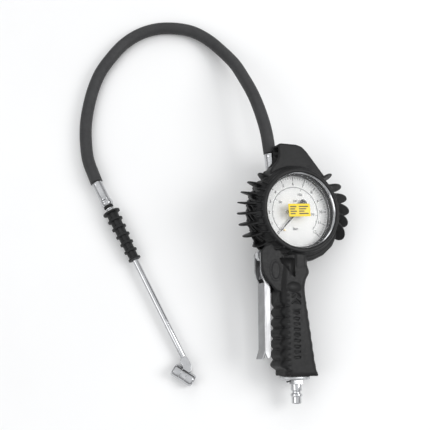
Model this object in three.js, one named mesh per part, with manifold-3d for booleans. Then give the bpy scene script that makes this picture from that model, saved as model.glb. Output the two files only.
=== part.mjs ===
// Hand-held tyre inflator with dial gauge, lying on its back, hose and lance laid out beside it.
// Millimetres. Row frame: +X to the lever's far side, +Y up the grip to the hood, +Z up from the table.
// Body frame (before the lay-down): x away from the lever, y towards the back, z up the grip,
// with its origin on the gauge axis.
import * as THREE from 'three';
import { mergeVertices } from 'three/addons/utils/BufferGeometryUtils.js';
import Module from 'manifold-3d';

const wasm = await Module();
wasm.setup();

// ---------------------------------------------------------------- driving dimensions
const GAP = 0.3;                  // clearance between touching pieces
const ROUND = 28;                 // sides of the gauge's turned pieces

const ROLL = 21.4;                // degrees that the body leans about its long axis
const PITCH = 6.1;                // degrees that the gauge end is raised above the nipple end
const HEAD = [66.56, 57.94, 35.93];   // gauge axis point in the row frame

const CASE_R = 39;                // gauge case outer radius
const CASE_FRONT = -13;
const CASE_BACK = 14;
const CASE_WALL = 1.5;
const BEZEL_R = 40;
const BEZEL_LIP_R = 36.6;         // opening of the bezel
const BEZEL_FRONT = -17.8;
const BEZEL_REAR = -8;
const LENS_R = 37.2;
const LENS_FRONT = -14.4;
const LENS_THICK = 2;
const DIAL_R = 36.5;
const DIAL_FRONT = -4.4;
const DIAL_THICK = 0.8;
const DIAL_ZERO = 229;            // where the scale starts, degrees round from +x as the dial is read
const LABEL_SIZE = [23.6, 12.6];
const LABEL_AT = [-0.6, 0.4];     // centre of the lens label: x, z
const LABEL_TURN = 4.5;

const BOOT_R = 43.6;              // rubber boot round the gauge
const BOOT_FRONT = -19.4;
const BOOT_BACK = 24.2;
const LIP_R = 37;                 // opening of the boot's front lip, which folds over the bezel
const FIN_ROOT_R = 42.5;
const FIN_HALF = 12;              // half length of a fin's foot, along the depth
const FIN_THICK = [2.8, 1.5];     // at the foot and at the tip
const FIN_TWIST = 0.2;            // degrees of turn per millimetre of depth
const FINS = [                    // angle at the foot, angle and radius at the tip
  [50, 43, 61], [37, 28, 62.5], [24, 15.5, 63.4], [11.5, 3, 63.2], [-1, -9, 61.5], [-13, -23, 60.5],
  [131, 135, 53], [145, 150.5, 56.5], [159, 163, 58.8], [171, 174, 60], [183, 184.6, 60.3],
  [196, 195.2, 60.3], [210, 206.5, 60.3], [223, 220.5, 56],
];
const BELLY = [                   // low swell under the gauge: angle, radius
  [-126, 46], [-112, 48.4], [-100, 49.1], [-90, 49.3], [-80, 49.5], [-70, 50], [-55, 50.6], [-40, 50.6],
  [-28, 49], [-20, 45],
];

const DUCT_Y = [16.6, 21.4];      // air duct of the casting, behind the gauge case
const PORT = [-16, 13.4];           // hose port centre: x, y
const PORT_Z = [39.6, 41.2];

const PIN_X = -36;                // lever pin
const PIN_Z = -44;
const PIN_R = 2;
const LEVER_HALF = 7.3;           // half width of the lever channel
const LEVER_WALL = 1.4;
const LEVER_END = -142.5;

const VALVE_Z = -60;              // axis of the valve, along x
const SPINE_HALF = 9.5;           // half depth of the casting in the grip
const GRIP_BOTTOM = -158;
const FLANGE_THICK = 3.2;
const NIPPLE_END = -184;

const HOSE_R = 6.4;
const FERRULE_R = 6.0;
const FERRULE_LEN = 17.5;
const FERRULE_LEAN = 6.5;           // degrees that the hose end leans towards the lever side

const LANCE_START = [-134.1, 98, 9.55];
const LANCE_TURN = 27.3;          // degrees from -Y towards +X
const LANCE_DIP = 0.84;           // degrees that the lance falls towards the chuck
const LANCE_FERRULE = 21.4;
const GRIP_FROM = 35.2;
const GRIP_TO = 91.5;
const TUBE_R = 2.9;
const BARREL_AT = [216.5, -7.85]; // along the lance, across the lance
const BARREL_TURN = 31;           // degrees between lance and barrel
const BARREL_LEN = 23;
const BARREL_R = 6.2;
const MOUTH_R = 4.2;
const MOUTH_DEPTH = 8;

// ---------------------------------------------------------------- helpers
const rad = THREE.MathUtils.degToRad;

// merge shared points, drop slivers, turn the faces outwards
function weld(geometry) {
  const bare = geometry.clone();
  for (const name of Object.keys(bare.attributes)) {
    if (name !== 'position') bare.deleteAttribute(name);
  }
  const merged = mergeVertices(bare, 1e-4);
  const point = merged.attributes.position;
  const kept = [];
  let volume = 0;
  const a = new THREE.Vector3();
  const b = new THREE.Vector3();
  const c = new THREE.Vector3();
  for (let i = 0; i < merged.index.count; i += 3) {
    const [p, q, r] = [merged.index.getX(i), merged.index.getX(i + 1), merged.index.getX(i + 2)];
    if (p === q || q === r || r === p) continue;
    kept.push(p, q, r);
    a.fromBufferAttribute(point, p);
    b.fromBufferAttribute(point, q);
    c.fromBufferAttribute(point, r);
    volume += a.dot(b.cross(c));
  }
  if (volume < 0) kept.reverse();
  merged.setIndex(kept);
  return merged;
}

function solid(geometry) {
  const welded = weld(geometry);
  return new wasm.Manifold(new wasm.Mesh({
    numProp: 3,
    vertProperties: new Float32Array(welded.attributes.position.array),
    triVerts: new Uint32Array(welded.index.array),
  }));
}

function geometryOf(manifold) {
  const mesh = manifold.getMesh();
  const geometry = new THREE.BufferGeometry();
  geometry.setAttribute('position', new THREE.BufferAttribute(new Float32Array(mesh.vertProperties), 3));
  geometry.setIndex(Array.from(mesh.triVerts));
  return geometry;
}

function join(first, ...others) {
  return others.reduce((whole, next) => whole.add(next), first);
}

function cut(first, ...others) {
  return others.reduce((whole, next) => whole.subtract(next), first);
}

// turned profile of [radius, height] pairs about the y axis
function turned(profile, sides = ROUND) {
  return new THREE.LatheGeometry(profile.map(([r, h]) => new THREE.Vector2(r, h)), sides);
}

const alongX = (geometry) => geometry.rotateZ(-Math.PI / 2);
const alongZ = (geometry) => geometry.rotateX(Math.PI / 2);

// solid rod about the y axis between two heights
const rodY = (r, from, to, sides = ROUND) => turned([[0, from], [r, from], [r, to], [0, to]], sides);
const rodX = (r, from, to, sides = ROUND) => alongX(rodY(r, from, to, sides));
const rodZ = (r, from, to, sides = ROUND) => alongZ(rodY(r, from, to, sides));

// ring about the y axis
function ringY(inner, outer, from, to, sides = ROUND) {
  return turned([[inner, from], [outer, from], [outer, to], [inner, to], [inner, from]], sides);
}

function box(x, y, z) {
  const geometry = new THREE.BoxGeometry(x[1] - x[0], y[1] - y[0], z[1] - z[0]);
  return geometry.translate((x[0] + x[1]) / 2, (y[0] + y[1]) / 2, (z[0] + z[1]) / 2);
}

// plate with an outline of [x, z] pairs and a thickness between two values of y
function plateXZ(outline, from, to) {
  const shape = new THREE.Shape(outline.map(([x, z]) => new THREE.Vector2(x, z)));
  const geometry = new THREE.ExtrudeGeometry(shape, { depth: to - from, bevelEnabled: false });
  return geometry.rotateX(Math.PI / 2).translate(0, to, 0);
}

// closed skin over a row of sections that all have the same number of points
function loft(sections) {
  const sides = sections[0].length;
  const points = sections.flat(2);
  const index = [];
  for (let s = 0; s + 1 < sections.length; s += 1) {
    for (let i = 0; i < sides; i += 1) {
      const j = (i + 1) % sides;
      const [a, b, c, d] = [s * sides + i, s * sides + j, (s + 1) * sides + j, (s + 1) * sides + i];
      index.push(a, b, c, a, c, d);
    }
  }
  const last = (sections.length - 1) * sides;
  for (let i = 1; i + 1 < sides; i += 1) {
    index.push(0, i + 1, i, last, last + i, last + i + 1);
  }
  const geometry = new THREE.BufferGeometry();
  geometry.setAttribute('position', new THREE.Float32BufferAttribute(points, 3));
  geometry.setIndex(index);
  return geometry;
}

// tube of a given radius along a curve
function tubeAlong(curve, radius, sides, steps) {
  const section = new THREE.Shape();
  for (let i = 0; i < sides; i += 1) {
    const turn = (2 * Math.PI * i) / sides;
    const place = [radius * Math.cos(turn), radius * Math.sin(turn)];
    if (i === 0) section.moveTo(...place);
    else section.lineTo(...place);
  }
  section.closePath();
  return new THREE.ExtrudeGeometry(section, { steps, extrudePath: curve, bevelEnabled: false });
}

class Helix extends THREE.Curve {
  constructor(radius, height, turns) {
    super();
    Object.assign(this, { radius, height, turns });
  }

  getPoint(t) {
    const angle = 2 * Math.PI * this.turns * t;
    return new THREE.Vector3(this.radius * Math.cos(angle), this.height * t, this.radius * Math.sin(angle));
  }
}

// ---------------------------------------------------------------- materials
const look = (color, roughness, metalness) => ({ color, roughness, metalness });
const RUBBER = look(0x232323, 0.75, 0);
const ALUMINIUM = look(0xb9bcbe, 0.42, 1);
const CHROME = look(0xd8dadc, 0.15, 1);
const BRASS = look(0xc8a45a, 0.35, 1);
const STEEL = look(0xa5a7a9, 0.35, 1);
const WHITE = look(0xe9e9e6, 0.55, 0);
const BLACK = look(0x151515, 0.5, 0);
const GLASS = look(0xeef3f5, 0.05, 0);
const YELLOW = look(0xf2cf1b, 0.5, 0);

const part = new THREE.Group();
const body = new THREE.Group();
const lance = new THREE.Group();

function add(group, name, geometry, finish) {
  const mesh = new THREE.Mesh(weld(geometry), new THREE.MeshStandardMaterial(finish));
  mesh.name = name;
  group.add(mesh);
  return mesh;
}

// ---------------------------------------------------------------- gauge
function gauge() {
  const shell = solid(turned([
    [0, CASE_BACK], [CASE_R, CASE_BACK], [CASE_R, CASE_FRONT], [CASE_R - CASE_WALL, CASE_FRONT],
    [CASE_R - CASE_WALL, CASE_BACK - CASE_WALL], [0, CASE_BACK - CASE_WALL],
  ], ROUND));
  const stemHole = solid(rodZ(6.4, -45, -30));
  const stemSlot = solid(box([-4.6, 4.6], [-2.6, CASE_BACK - CASE_WALL], [-38, -30]));
  add(body, 'gauge_case', geometryOf(cut(shell, stemHole, stemSlot)), WHITE);

  add(body, 'gauge_bezel', turned([
    [CASE_R + GAP, BEZEL_REAR], [BEZEL_R, BEZEL_REAR], [BEZEL_R, BEZEL_FRONT + 1.2],
    [BEZEL_R - 1.6, BEZEL_FRONT], [BEZEL_LIP_R, BEZEL_FRONT + 1.2], [BEZEL_LIP_R, LENS_FRONT - GAP],
    [CASE_R - 0.9, LENS_FRONT - GAP], [CASE_R + GAP, CASE_FRONT - GAP], [CASE_R + GAP, BEZEL_REAR],
  ], ROUND), CHROME);

  const lensRear = LENS_FRONT + LENS_THICK;
  add(body, 'gauge_lens', rodY(LENS_R, LENS_FRONT, lensRear, ROUND), GLASS);
  add(body, 'bezel_gasket', ringY(LENS_R - 2, LENS_R, lensRear + GAP, lensRear + 1.8, ROUND), BLACK);
  const [across, up] = LABEL_SIZE.map((side) => side / 2);
  const label = box([-across, across], [LENS_FRONT - 0.8, LENS_FRONT - GAP], [-up, up]);
  add(body, 'lens_label', label.rotateY(-rad(LABEL_TURN)).translate(LABEL_AT[0], 0, LABEL_AT[1]), YELLOW);

  const dial = solid(rodY(DIAL_R, DIAL_FRONT, DIAL_FRONT + DIAL_THICK, ROUND));
  const arborHole = solid(rodY(2, DIAL_FRONT - 1, DIAL_FRONT + 2, 16));
  add(body, 'dial_plate', geometryOf(cut(dial, arborHole)), WHITE);

  for (const [name, x] of [['left', -9], ['right', 9]]) {
    add(body, `dial_screw_${name}`, turned([
      [0, DIAL_FRONT - 0.9], [1.5, DIAL_FRONT - 0.9], [1.8, DIAL_FRONT - GAP], [0, DIAL_FRONT - GAP],
    ], 12).translate(x, 0, 0), STEEL);
  }

  const stop = rodY(0.7, DIAL_FRONT - 2.4, DIAL_FRONT - GAP, 10);
  add(body, 'zero_stop_pin', stop.translate(-12.7, 0, -18.7), BRASS);
}

// pointer at the scale's zero, and its arbor with the pinion
function pointerAndMovement() {
  const blade = plateXZ([
    [-2.4, -14.9], [-4.2, -13], [-2, -6], [-2.6, -2], [-1.1, 4], [-0.4, 27], [0, 28], [0.4, 27],
    [1.1, 4], [2.6, -2], [2, -6], [4.2, -13], [2.4, -14.9],
  ].reverse(), DIAL_FRONT - 3.6, DIAL_FRONT - 3);
  const hub = solid(rodY(2.8, DIAL_FRONT - 4.4, DIAL_FRONT - 2.8, 20));
  const hubHole = solid(rodY(1.1 + GAP, DIAL_FRONT - 6, DIAL_FRONT, 16));
  const needle = geometryOf(cut(join(solid(blade), hub), hubHole));
  needle.rotateY(rad(90 - DIAL_ZERO));
  add(body, 'pointer', needle, BLACK);

  const arbor = turned([
    [0, DIAL_FRONT - 4.9], [1.1, DIAL_FRONT - 4.9], [1.1, 0.6], [2.3, 0.6], [2.3, 2.8], [1.1, 2.8],
    [1.1, 4.4],
    [0, 4.4],
  ], 20);
  add(body, 'pointer_arbor', arbor, BRASS);

  const plate = (from, to) => {
    const outline = [[-9, -24], [9, -24], [9, 8], [5, 11], [-5, 11], [-9, 8]];
    return solid(plateXZ(outline, from, to));
  };
  const posts = [[-7, 6], [7, 6], [-7, -21], [7, -21]].map(([x, z]) => solid(rodY(1.4, -0.6, 4.4, 10)
    .translate(x, 0, z)));
  const holes = [[0, 0, 1.6], [0, -17, 1.4]].map(([x, z, r]) => (
    solid(rodY(r, -3, 6, 16).translate(x, 0, z))
  ));
  const frame = cut(join(plate(-1.6, -0.6), plate(4.2, 5.2), ...posts), ...holes);
  add(body, 'movement_frame', geometryOf(frame), BRASS);

  // toothed sector, pivoted below the pinion; its rim runs 2.5 mm below the pinion axis
  const rim = [];
  for (let i = 0; i <= 8; i += 1) {
    const turn = rad(75 - 22 + (44 * i) / 8);
    rim.push([14.3 * Math.cos(turn), -17 + 14.3 * Math.sin(turn)]);
  }
  const sector = plateXZ([[1.8, -18.5], ...rim, [-1.8, -18.5]], 0.9, 2.5);
  const tail = plateXZ([[-1.2, -26], [1.2, -26], [1.6, -17], [-1.6, -17]], 0.9, 2.5);
  const spindle = rodY(1.1, -1.4, 5, 12).translate(0, 0, -17);
  add(body, 'sector_gear', geometryOf(join(solid(sector), solid(tail), solid(spindle))), BRASS);

  // bourdon tube: flattened section on an arc from the socket round to its free tip
  const tube = [];
  for (let i = 0; i <= 24; i += 1) {
    const turn = rad(-84 + (262 * i) / 24);
    const c = Math.cos(turn);
    const s = Math.sin(turn);
    const ring = [[29.2, 7], [30, 7.8], [30, 10.6], [29.2, 11.4], [28.4, 10.6], [28.4, 7.8]];
    tube.push(ring.map(([r, y]) => [r * c, y, r * s]));
  }
  add(body, 'bourdon_tube', weld(loft(tube)), BRASS);
  const link = plateXZ([[-28, -1.2], [-26.8, -1.6], [-1.2, -26], [-2.2, -26.5]], 6.2, 6.9);
  add(body, 'bourdon_link', link, STEEL);

  const socket = join(
    solid(box([-9, 9], [5.6, 12], [-35, -31])),
    solid(box([-7, 1.2], [5.6, 12], [-31, -27])),
    solid(rodZ(5.6, -52, -37, 20)),
    solid(box([-4, 4], [-2, 12], [-37.1, -34])),
  );
  const airway = solid(rodZ(1.6, -53, -33, 12));
  add(body, 'gauge_socket', geometryOf(cut(socket, airway)), BRASS);
}

// ---------------------------------------------------------------- casting
// the casting's outside, grown by a clearance so that the boots can be cut by it
function castingBlank(grow) {
  const g = grow;
  const spine = plateXZ([
    [-14 - g, -155.7 - g], [12 + g, -155.7 - g], [4 + g, -100], [3 + g, -49 + g], [-14 - g, -49 + g],
  ], -SPINE_HALF - g, SPINE_HALF + g);
  const boss = rodX(7.6 + g, -24 - g, 5.5 + g, 24).translate(0, 0, VALVE_Z);
  const collar = rodZ(9 + g, -56, -42 + g, 24);
  const lug = plateXZ([
    [-12, -38 + g], [-34, -38.4 + g], [-38 - g, -39 + g], [-40.4 - g, -42], [-40.4 - g, -46],
    [-38 - g, -49 - g], [-12, -52 - g],
  ], -3 - g, 3 + g);
  const shoulder = box([-8 - g, 6 + g], [0, DUCT_Y[1] + g], [-56 - g, -42 + g]);
  const duct = plateXZ([
    [-6 - g, -50], [5 + g, -50], [5 + g, -20], [-10 + g, 30], [-10 + g, PORT_Z[1] + g],
    [-23 - g, PORT_Z[1] + g],
    [-23 - g, 27],
  ], DUCT_Y[0] - g, DUCT_Y[1] + g);
  const port = rodZ(6 + g, PORT_Z[0] - g, PORT_Z[1] + g, 24).translate(PORT[0], PORT[1], 0);
  const web = box([-22 - g, -11 + g], [PORT[1], DUCT_Y[1]], [PORT_Z[0] - g, PORT_Z[1] + g]);
  return join(...[spine, boss, collar, lug, shoulder, duct, port, web].map(solid));
}

function casting() {
  const bores = [
    rodX(2.2, -30, -10, 16).translate(0, 0, VALVE_Z),
    rodX(3.9, -18.3, -16.1, 16).translate(0, 0, VALVE_Z),
    rodX(5, -13, 2, 20).translate(0, 0, VALVE_Z),
    rodX(5.8, 1, 8, 20).translate(0, 0, VALVE_Z),
    rodZ(5.6 + GAP, -52.4, -41, 20),
    rodZ(2, -60, -50, 12),
    rodZ(3, -160, -62, 12),
    rodZ(7.4, -160, -148, 20),
    rodY(PIN_R + GAP, -4, 4, 16).translate(PIN_X, 0, PIN_Z),
    rodZ(2, PORT_Z[0] - 1, PORT_Z[1] + 1, 12).translate(PORT[0], PORT[1], 0),
  ].map(solid);
  add(body, 'body_casting', geometryOf(cut(castingBlank(0), ...bores)), ALUMINIUM);
}

// ---------------------------------------------------------------- rubber boots
// one paddle-shaped fin, leaning from its foot angle to its tip angle, on a slow twist round the boot
function fin([footAngle, tipAngle, tip]) {
  const stations = 6;
  const sections = [];
  for (let i = 0; i <= stations; i += 1) {
    const reach = Math.sin((Math.PI / 2) * ((2 * i) / stations - 1));
    const rise = 0.04 + 0.96 * Math.sqrt(1 - reach * reach);
    const y = FIN_HALF * reach;
    const corner = (share, side) => {
      const r = FIN_ROOT_R - 1.5 + (tip - FIN_ROOT_R + 1.5) * share;
      const turn = rad(footAngle + (tipAngle - footAngle) * share - FIN_TWIST * y);
      return [r * Math.cos(turn) - side * Math.sin(turn), y, r * Math.sin(turn) + side * Math.cos(turn)];
    };
    const [foot, edge] = FIN_THICK.map((thick) => thick / 2);
    sections.push([corner(0, -foot), corner(0, foot), corner(rise, edge), corner(rise, -edge)]);
  }
  return solid(loft(sections));
}

// swell under the gauge, an arc of changing radius with eased front and back
function belly() {
  return solid(loft(BELLY.map(([angle, r]) => {
    const [c, s] = [Math.cos(rad(angle)), Math.sin(rad(angle))];
    return [[40.5, -10], [r - 2.5, -9.5], [r, -6], [r, 5], [r - 2.5, 8.5], [40.5, 10]]
      .map(([radius, y]) => [radius * c, y, radius * s]);
  })));
}

// the outside of the gauge boot's round shell, grown by a clearance
function shellBlank(grow) {
  return solid(turned([
    [0, BOOT_BACK + grow], [34 + grow, BOOT_BACK + grow], [38.5 + grow, BOOT_BACK - 1.4],
    [42 + grow, BOOT_BACK - 4.4], [BOOT_R + grow, 15], [44.6 + grow, 0], [44.6 + grow, -12],
    [41.8 + grow, -15.5], [41.5 + grow, BOOT_FRONT + 0.7], [40.6, BOOT_FRONT], [0, BOOT_FRONT],
  ], 40));
}

// the hood over the hose port, with the tunnel that the boot hangs by
function hangHood() {
  const outline = (grow) => [
    [-28 - grow, 30], [-28 - grow, 40], [-24.5 - grow, 45 + grow], [-20 - grow, 50.5], [-18.6 - grow, 57],
    [-19.4 - grow, 65.5], [-17.2 - grow, 68 + grow], [1, 68.2 + grow], [6.5, 66.2 + grow],
    [11.5 + grow, 61.4 + grow], [31 + grow, 38 + grow], [31 + grow, 30],
  ];
  const collar = (grow) => solid(rodZ(9.2 + grow, 30, 43.6 + grow, 20).translate(PORT[0], PORT[1], 0));
  const blank = (grow) => join(solid(plateXZ(outline(grow), -8.4 - grow, 6 + grow)), collar(grow));
  const tunnel = solid(plateXZ([
    [-40, 43.8], [-40, 65.2], [2, 65.2], [8, 61.6], [12.6, 56], [45, 56], [45, 43.8],
  ], -7, 4.2));
  const portRoom = solid(rodZ(6.9, PORT_Z[1] - 1, 60, 20).translate(PORT[0], PORT[1], 0));
  const rooms = [tunnel, portRoom, shellBlank(GAP), castingBlank(GAP)];
  add(body, 'hang_hood', geometryOf(cut(blank(0), ...rooms)), RUBBER);
  return blank(GAP);
}

function headBoot() {
  const hoodRoom = hangHood();
  const neck = solid(box([-12, 11], [-13, 18], [-49.5, -38]));
  const apron = solid(plateXZ([
    [-12, -36], [-28, -33], [-37, -36.5], [-40.5, -41], [-40.5, -49.5], [-12, -49.5],
  ], -11.4, -8.9));
  const caseRoom = solid(rodY(CASE_R + 0.4, BEZEL_FRONT, CASE_BACK + GAP, ROUND));
  const bezelRoom = solid(rodY(BEZEL_R + GAP, BEZEL_FRONT - GAP, BEZEL_REAR + 0.6, ROUND));
  const window = solid(rodY(LIP_R, -30, BEZEL_FRONT, ROUND));
  const pinRoom = solid(rodY(3.3, -9.8, -8, 16).translate(PIN_X, 0, PIN_Z));
  const socketRoom = solid(rodZ(6.2, -60, -36, 20));
  const leverRoom = solid(box([-46, -28], [-8.6, 8.6], [-60, -37]));
  const fins = cut(join(...FINS.map(fin)), hoodRoom);
  const whole = join(shellBlank(0), fins, belly(), neck, apron);
  const rooms = [caseRoom, bezelRoom, window, socketRoom, leverRoom, pinRoom, castingBlank(GAP)];
  add(body, 'head_boot', geometryOf(cut(whole, ...rooms)), RUBBER);
}

// grip section at a height: rounded rectangle whose lever side carries the scalloped teeth
const gripRight = [
  [-49.8, 9.4], [-57, 11.4], [-66, 7.2], [-76, 5.5], [-100, 8.5], [-130, 12.5], [-150, 15.5], [-158, 18],
];
const gripLeft = [[-49.8, -17], [-66, -18.5], [-85, -19], [-148, -20.3], [-158, -14.5]];
const gripDepth = [[-49.8, 13], [-66, 14], [-80, 15], [-158, 15.6]];
const TOOTH_PITCH = 10;
const TOOTH_TOP = -88;
const TOOTH_DEPTH = 1.5;

function along(table, z) {
  const last = table.length - 1;
  const next = Math.min(Math.max(table.findIndex(([at]) => at <= z), 1), last);
  const [[z0, v0], [z1, v1]] = [table[next - 1], table[next]];
  return v0 + ((v1 - v0) * (z - z0)) / (z1 - z0);
}

function gripSection(z) {
  const wave = Math.abs(Math.cos((Math.PI * (z - TOOTH_TOP)) / TOOTH_PITCH));
  const tooth = z < TOOTH_TOP ? TOOTH_DEPTH * (1 - wave) : 0;
  const edge = [along(gripLeft, z) + tooth * 2 - TOOTH_DEPTH, along(gripRight, z)];
  const half = along(gripDepth, z);
  const corner = 6;
  const ring = [];
  const centres = [[edge[1] - corner, half - corner], [edge[0] + corner, half - corner],
    [edge[0] + corner, corner - half], [edge[1] - corner, corner - half]];
  centres.forEach(([x, y], quarter) => {
    for (let i = 0; i <= 2; i += 1) {
      const turn = (Math.PI / 2) * (quarter + i / 2);
      ring.push([x + corner * Math.cos(turn), y + corner * Math.sin(turn), z]);
    }
  });
  return ring;
}

function gripBoot() {
  const top = -49.8;
  const steps = 42;
  const sections = [];
  for (let i = 0; i <= steps; i += 1) sections.push(gripSection(top + ((GRIP_BOTTOM - top) * i) / steps));
  const sleeve = solid(loft(sections));
  const cheek = (x, from, to) => solid(plateXZ([
    [-12, -49.8], [x, -49.8], [x + 0.6, -58], [x + 2.4, -63], [-33, -70], [-24, -79], [-12, -79],
  ], from, to));
  const pocket = solid(plateXZ([[-21, -48], [-8, -48], [-6.5, -58], [-6, -65], [-10.5, -61]], -20, -10.6));
  const saddle = solid(new THREE.SphereGeometry(1, 20, 12).scale(10, 4.5, 6.5).translate(-8.5, -17, -74));
  const leverRoom = solid(box([-46, -20.4], [-7.9, 7.9], [-90, -40]));
  const plungerRoom = solid(rodX(3.4, -34, -18, 20).translate(0, 0, VALVE_Z));
  const threadRoom = solid(rodZ(6.2, -170, -150, 20));
  const whole = join(sleeve, cheek(-40, -11, -8.2), cheek(-37, 8.2, 10.8));
  const rooms = [leverRoom, pocket, saddle, plungerRoom, threadRoom, castingBlank(GAP)];
  add(body, 'grip_boot', geometryOf(cut(whole, ...rooms)), RUBBER);
}

// ---------------------------------------------------------------- lever, pin and return spring
function leverSet() {
  const side = [
    [-36, LEVER_END + 6], [-33.5, LEVER_END + 1], [-31, LEVER_END], [-29.6, LEVER_END + 3], [-29.4, -130],
    [-29.4, -76],
    [-30.4, -69], [-31, -52], [-32.4, -41.4], [-34.4, -40], [-37.6, -40], [-39.6, -42], [-39.6, -60],
    [-38, -66], [-36, -70],
  ];
  const wallNear = solid(plateXZ(side, -LEVER_HALF, -LEVER_HALF + LEVER_WALL));
  const wallFar = solid(plateXZ(side, LEVER_HALF - LEVER_WALL, LEVER_HALF));
  const web = solid(plateXZ([
    [-36, -70.6], [-34.6, -70.6], [-34.6, LEVER_END + 10], [-37.4, LEVER_END], [-38.8, LEVER_END],
    [-36, LEVER_END + 9],
  ].reverse(), -LEVER_HALF + 0.2, LEVER_HALF - 0.2));
  const pad = solid(plateXZ([
    [-33.2, -53], [-31.8, -53], [-31.8, -62.5], [-33.6, -66.6], [-35, -66.6], [-33.2, -62],
  ].reverse(), -LEVER_HALF + 0.2, LEVER_HALF - 0.2));
  const pinHole = solid(rodY(PIN_R + GAP, -10, 10, 16).translate(PIN_X, 0, PIN_Z));
  add(body, 'lever', geometryOf(cut(join(wallNear, wallFar, web, pad), pinHole)), ALUMINIUM);

  const pin = turned([
    [0, -9.4], [2.9, -9.4], [2.9, -8.2], [PIN_R, -8.2], [PIN_R, 9.2], [0, 9.2],
  ], 16).translate(PIN_X, 0, PIN_Z);
  add(body, 'lever_pin', pin, STEEL);
  add(body, 'pin_clip', ringY(PIN_R + GAP, 3.6, 7.7, 8.5, 16).translate(PIN_X, 0, PIN_Z), STEEL);

  const coil = tubeAlong(new Helix(2.85, 1.8, 2), 0.4, 5, 22);
  add(body, 'lever_spring', weld(coil).translate(PIN_X, 3.65, PIN_Z), STEEL);
}

// ---------------------------------------------------------------- valve
function valve() {
  const shift = (geometry) => geometry.translate(0, 0, VALVE_Z);
  add(body, 'valve_plunger', shift(alongX(turned([
    [0, -31.2], [0.9, -31.1], [1.6, -30.4], [1.8, -29], [1.8, -10], [4, -10], [4, -8], [0, -8],
  ], 16))), STEEL);
  add(body, 'plunger_seal', shift(alongX(ringY(2.1, 3.6, -18, -16.4, 16))), BLACK);
  add(body, 'valve_seat', shift(alongX(ringY(2.4, 4.7, -12.7, -10.4, 16))), BLACK);
  const coil = weld(tubeAlong(new Helix(3.2, 5.4, 4), 0.4, 5, 36)).translate(0, -5.4, 0);
  add(body, 'valve_spring', shift(alongX(coil)),
    STEEL);
  const plug = solid(shift(rodX(5.5, 1.3, 5.2, 20)));
  const key = solid(shift(rodX(2.6, 3, 7, 6)));
  add(body, 'valve_plug', geometryOf(cut(plug, key)), BRASS);
}

// ---------------------------------------------------------------- base, inlet nipple
function base() {
  const top = GRIP_BOTTOM - GAP;
  const outline = new THREE.Shape();
  outline.absellipse(-1.5, 0, 15, 12.4, 0, 2 * Math.PI);
  const settings = { depth: FLANGE_THICK, bevelEnabled: false, curveSegments: 20 };
  const plate = new THREE.ExtrudeGeometry(outline, settings);
  plate.translate(0, 0, top - FLANGE_THICK);
  const bore = solid(rodZ(6.2, -170, -150, 20));
  add(body, 'base_flange', geometryOf(cut(solid(plate), bore)), ALUMINIUM);

  const under = top - FLANGE_THICK - GAP;
  const thread = solid(rodZ(5.6, -156, under, 20));
  const hex = solid(rodZ(7.4, under - 4, under, 6));
  const tail = solid(alongZ(turned([
    [0, NIPPLE_END], [4.1, NIPPLE_END], [4.6, NIPPLE_END + 0.8], [4.6, NIPPLE_END + 6.4],
    [5.5, NIPPLE_END + 7],
    [5.5, NIPPLE_END + 9], [4.1, NIPPLE_END + 9.8], [4.1, NIPPLE_END + 11.6], [5.2, NIPPLE_END + 12.4],
    [5.2, under - 3.6], [0, under - 3.6],
  ], 20)));
  const bore2 = solid(rodZ(2.6, -190, -140, 16));
  add(body, 'inlet_nipple', geometryOf(cut(join(thread, hex, tail), bore2)), CHROME);
  add(body, 'nipple_seal', alongZ(ringY(5.9, 7.1, -155.6, -153.6, 20)), BLACK);
}

// ---------------------------------------------------------------- hose end at the body
const hoseEnd = new THREE.Group();

function bodyEnd() {
  const hex = solid(rodZ(6.4, 1.1, 2.8, 6));
  const airway = solid(rodZ(2, -1, 6, 12));
  add(hoseEnd, 'hose_port_fitting', geometryOf(cut(hex, airway)), BRASS);
  const foot = 2.8 + GAP;
  add(hoseEnd, 'body_ferrule', alongZ(turned([
    [2.6, foot], [FERRULE_R - 0.4, foot], [FERRULE_R, foot + 0.5], [FERRULE_R, foot + FERRULE_LEN - 0.5],
    [FERRULE_R - 0.3, foot + FERRULE_LEN], [2.6, foot + FERRULE_LEN], [2.6, foot],
  ], 24)), CHROME);
  hoseEnd.position.set(PORT[0], PORT[1], PORT_Z[1]);
  hoseEnd.rotation.y = -rad(FERRULE_LEAN);
  body.add(hoseEnd);
}

// ---------------------------------------------------------------- hose
const HOSE_ROUTE = [
  [44.6, 120.5, 36.85], [41.2, 143, 39.2], [35.8, 165, 38], [29, 187, 33.2], [20, 209, 26.4], [10, 230, 19],
  [-4, 249, 12.6], [-19, 265, 8.4], [-37, 276, 6.8], [-57, 280, 6.5], [-77, 279, 6.5], [-96, 272, 6.5],
  [-112, 260, 6.5], [-125, 244, 6.5], [-136, 226, 6.5], [-143, 206, 6.5], [-147, 186, 6.5], [-149, 165, 6.6],
  [-148, 145, 6.9], [-144.4, 124, 7.8], [-134.3, 98.6, 9.55],
].map((place) => new THREE.Vector3(...place));

function hose() {
  const route = new THREE.CatmullRomCurve3(HOSE_ROUTE, false, 'centripetal');
  add(part, 'hose', weld(tubeAlong(route, HOSE_R, 10, 20)), RUBBER);
}

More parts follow.
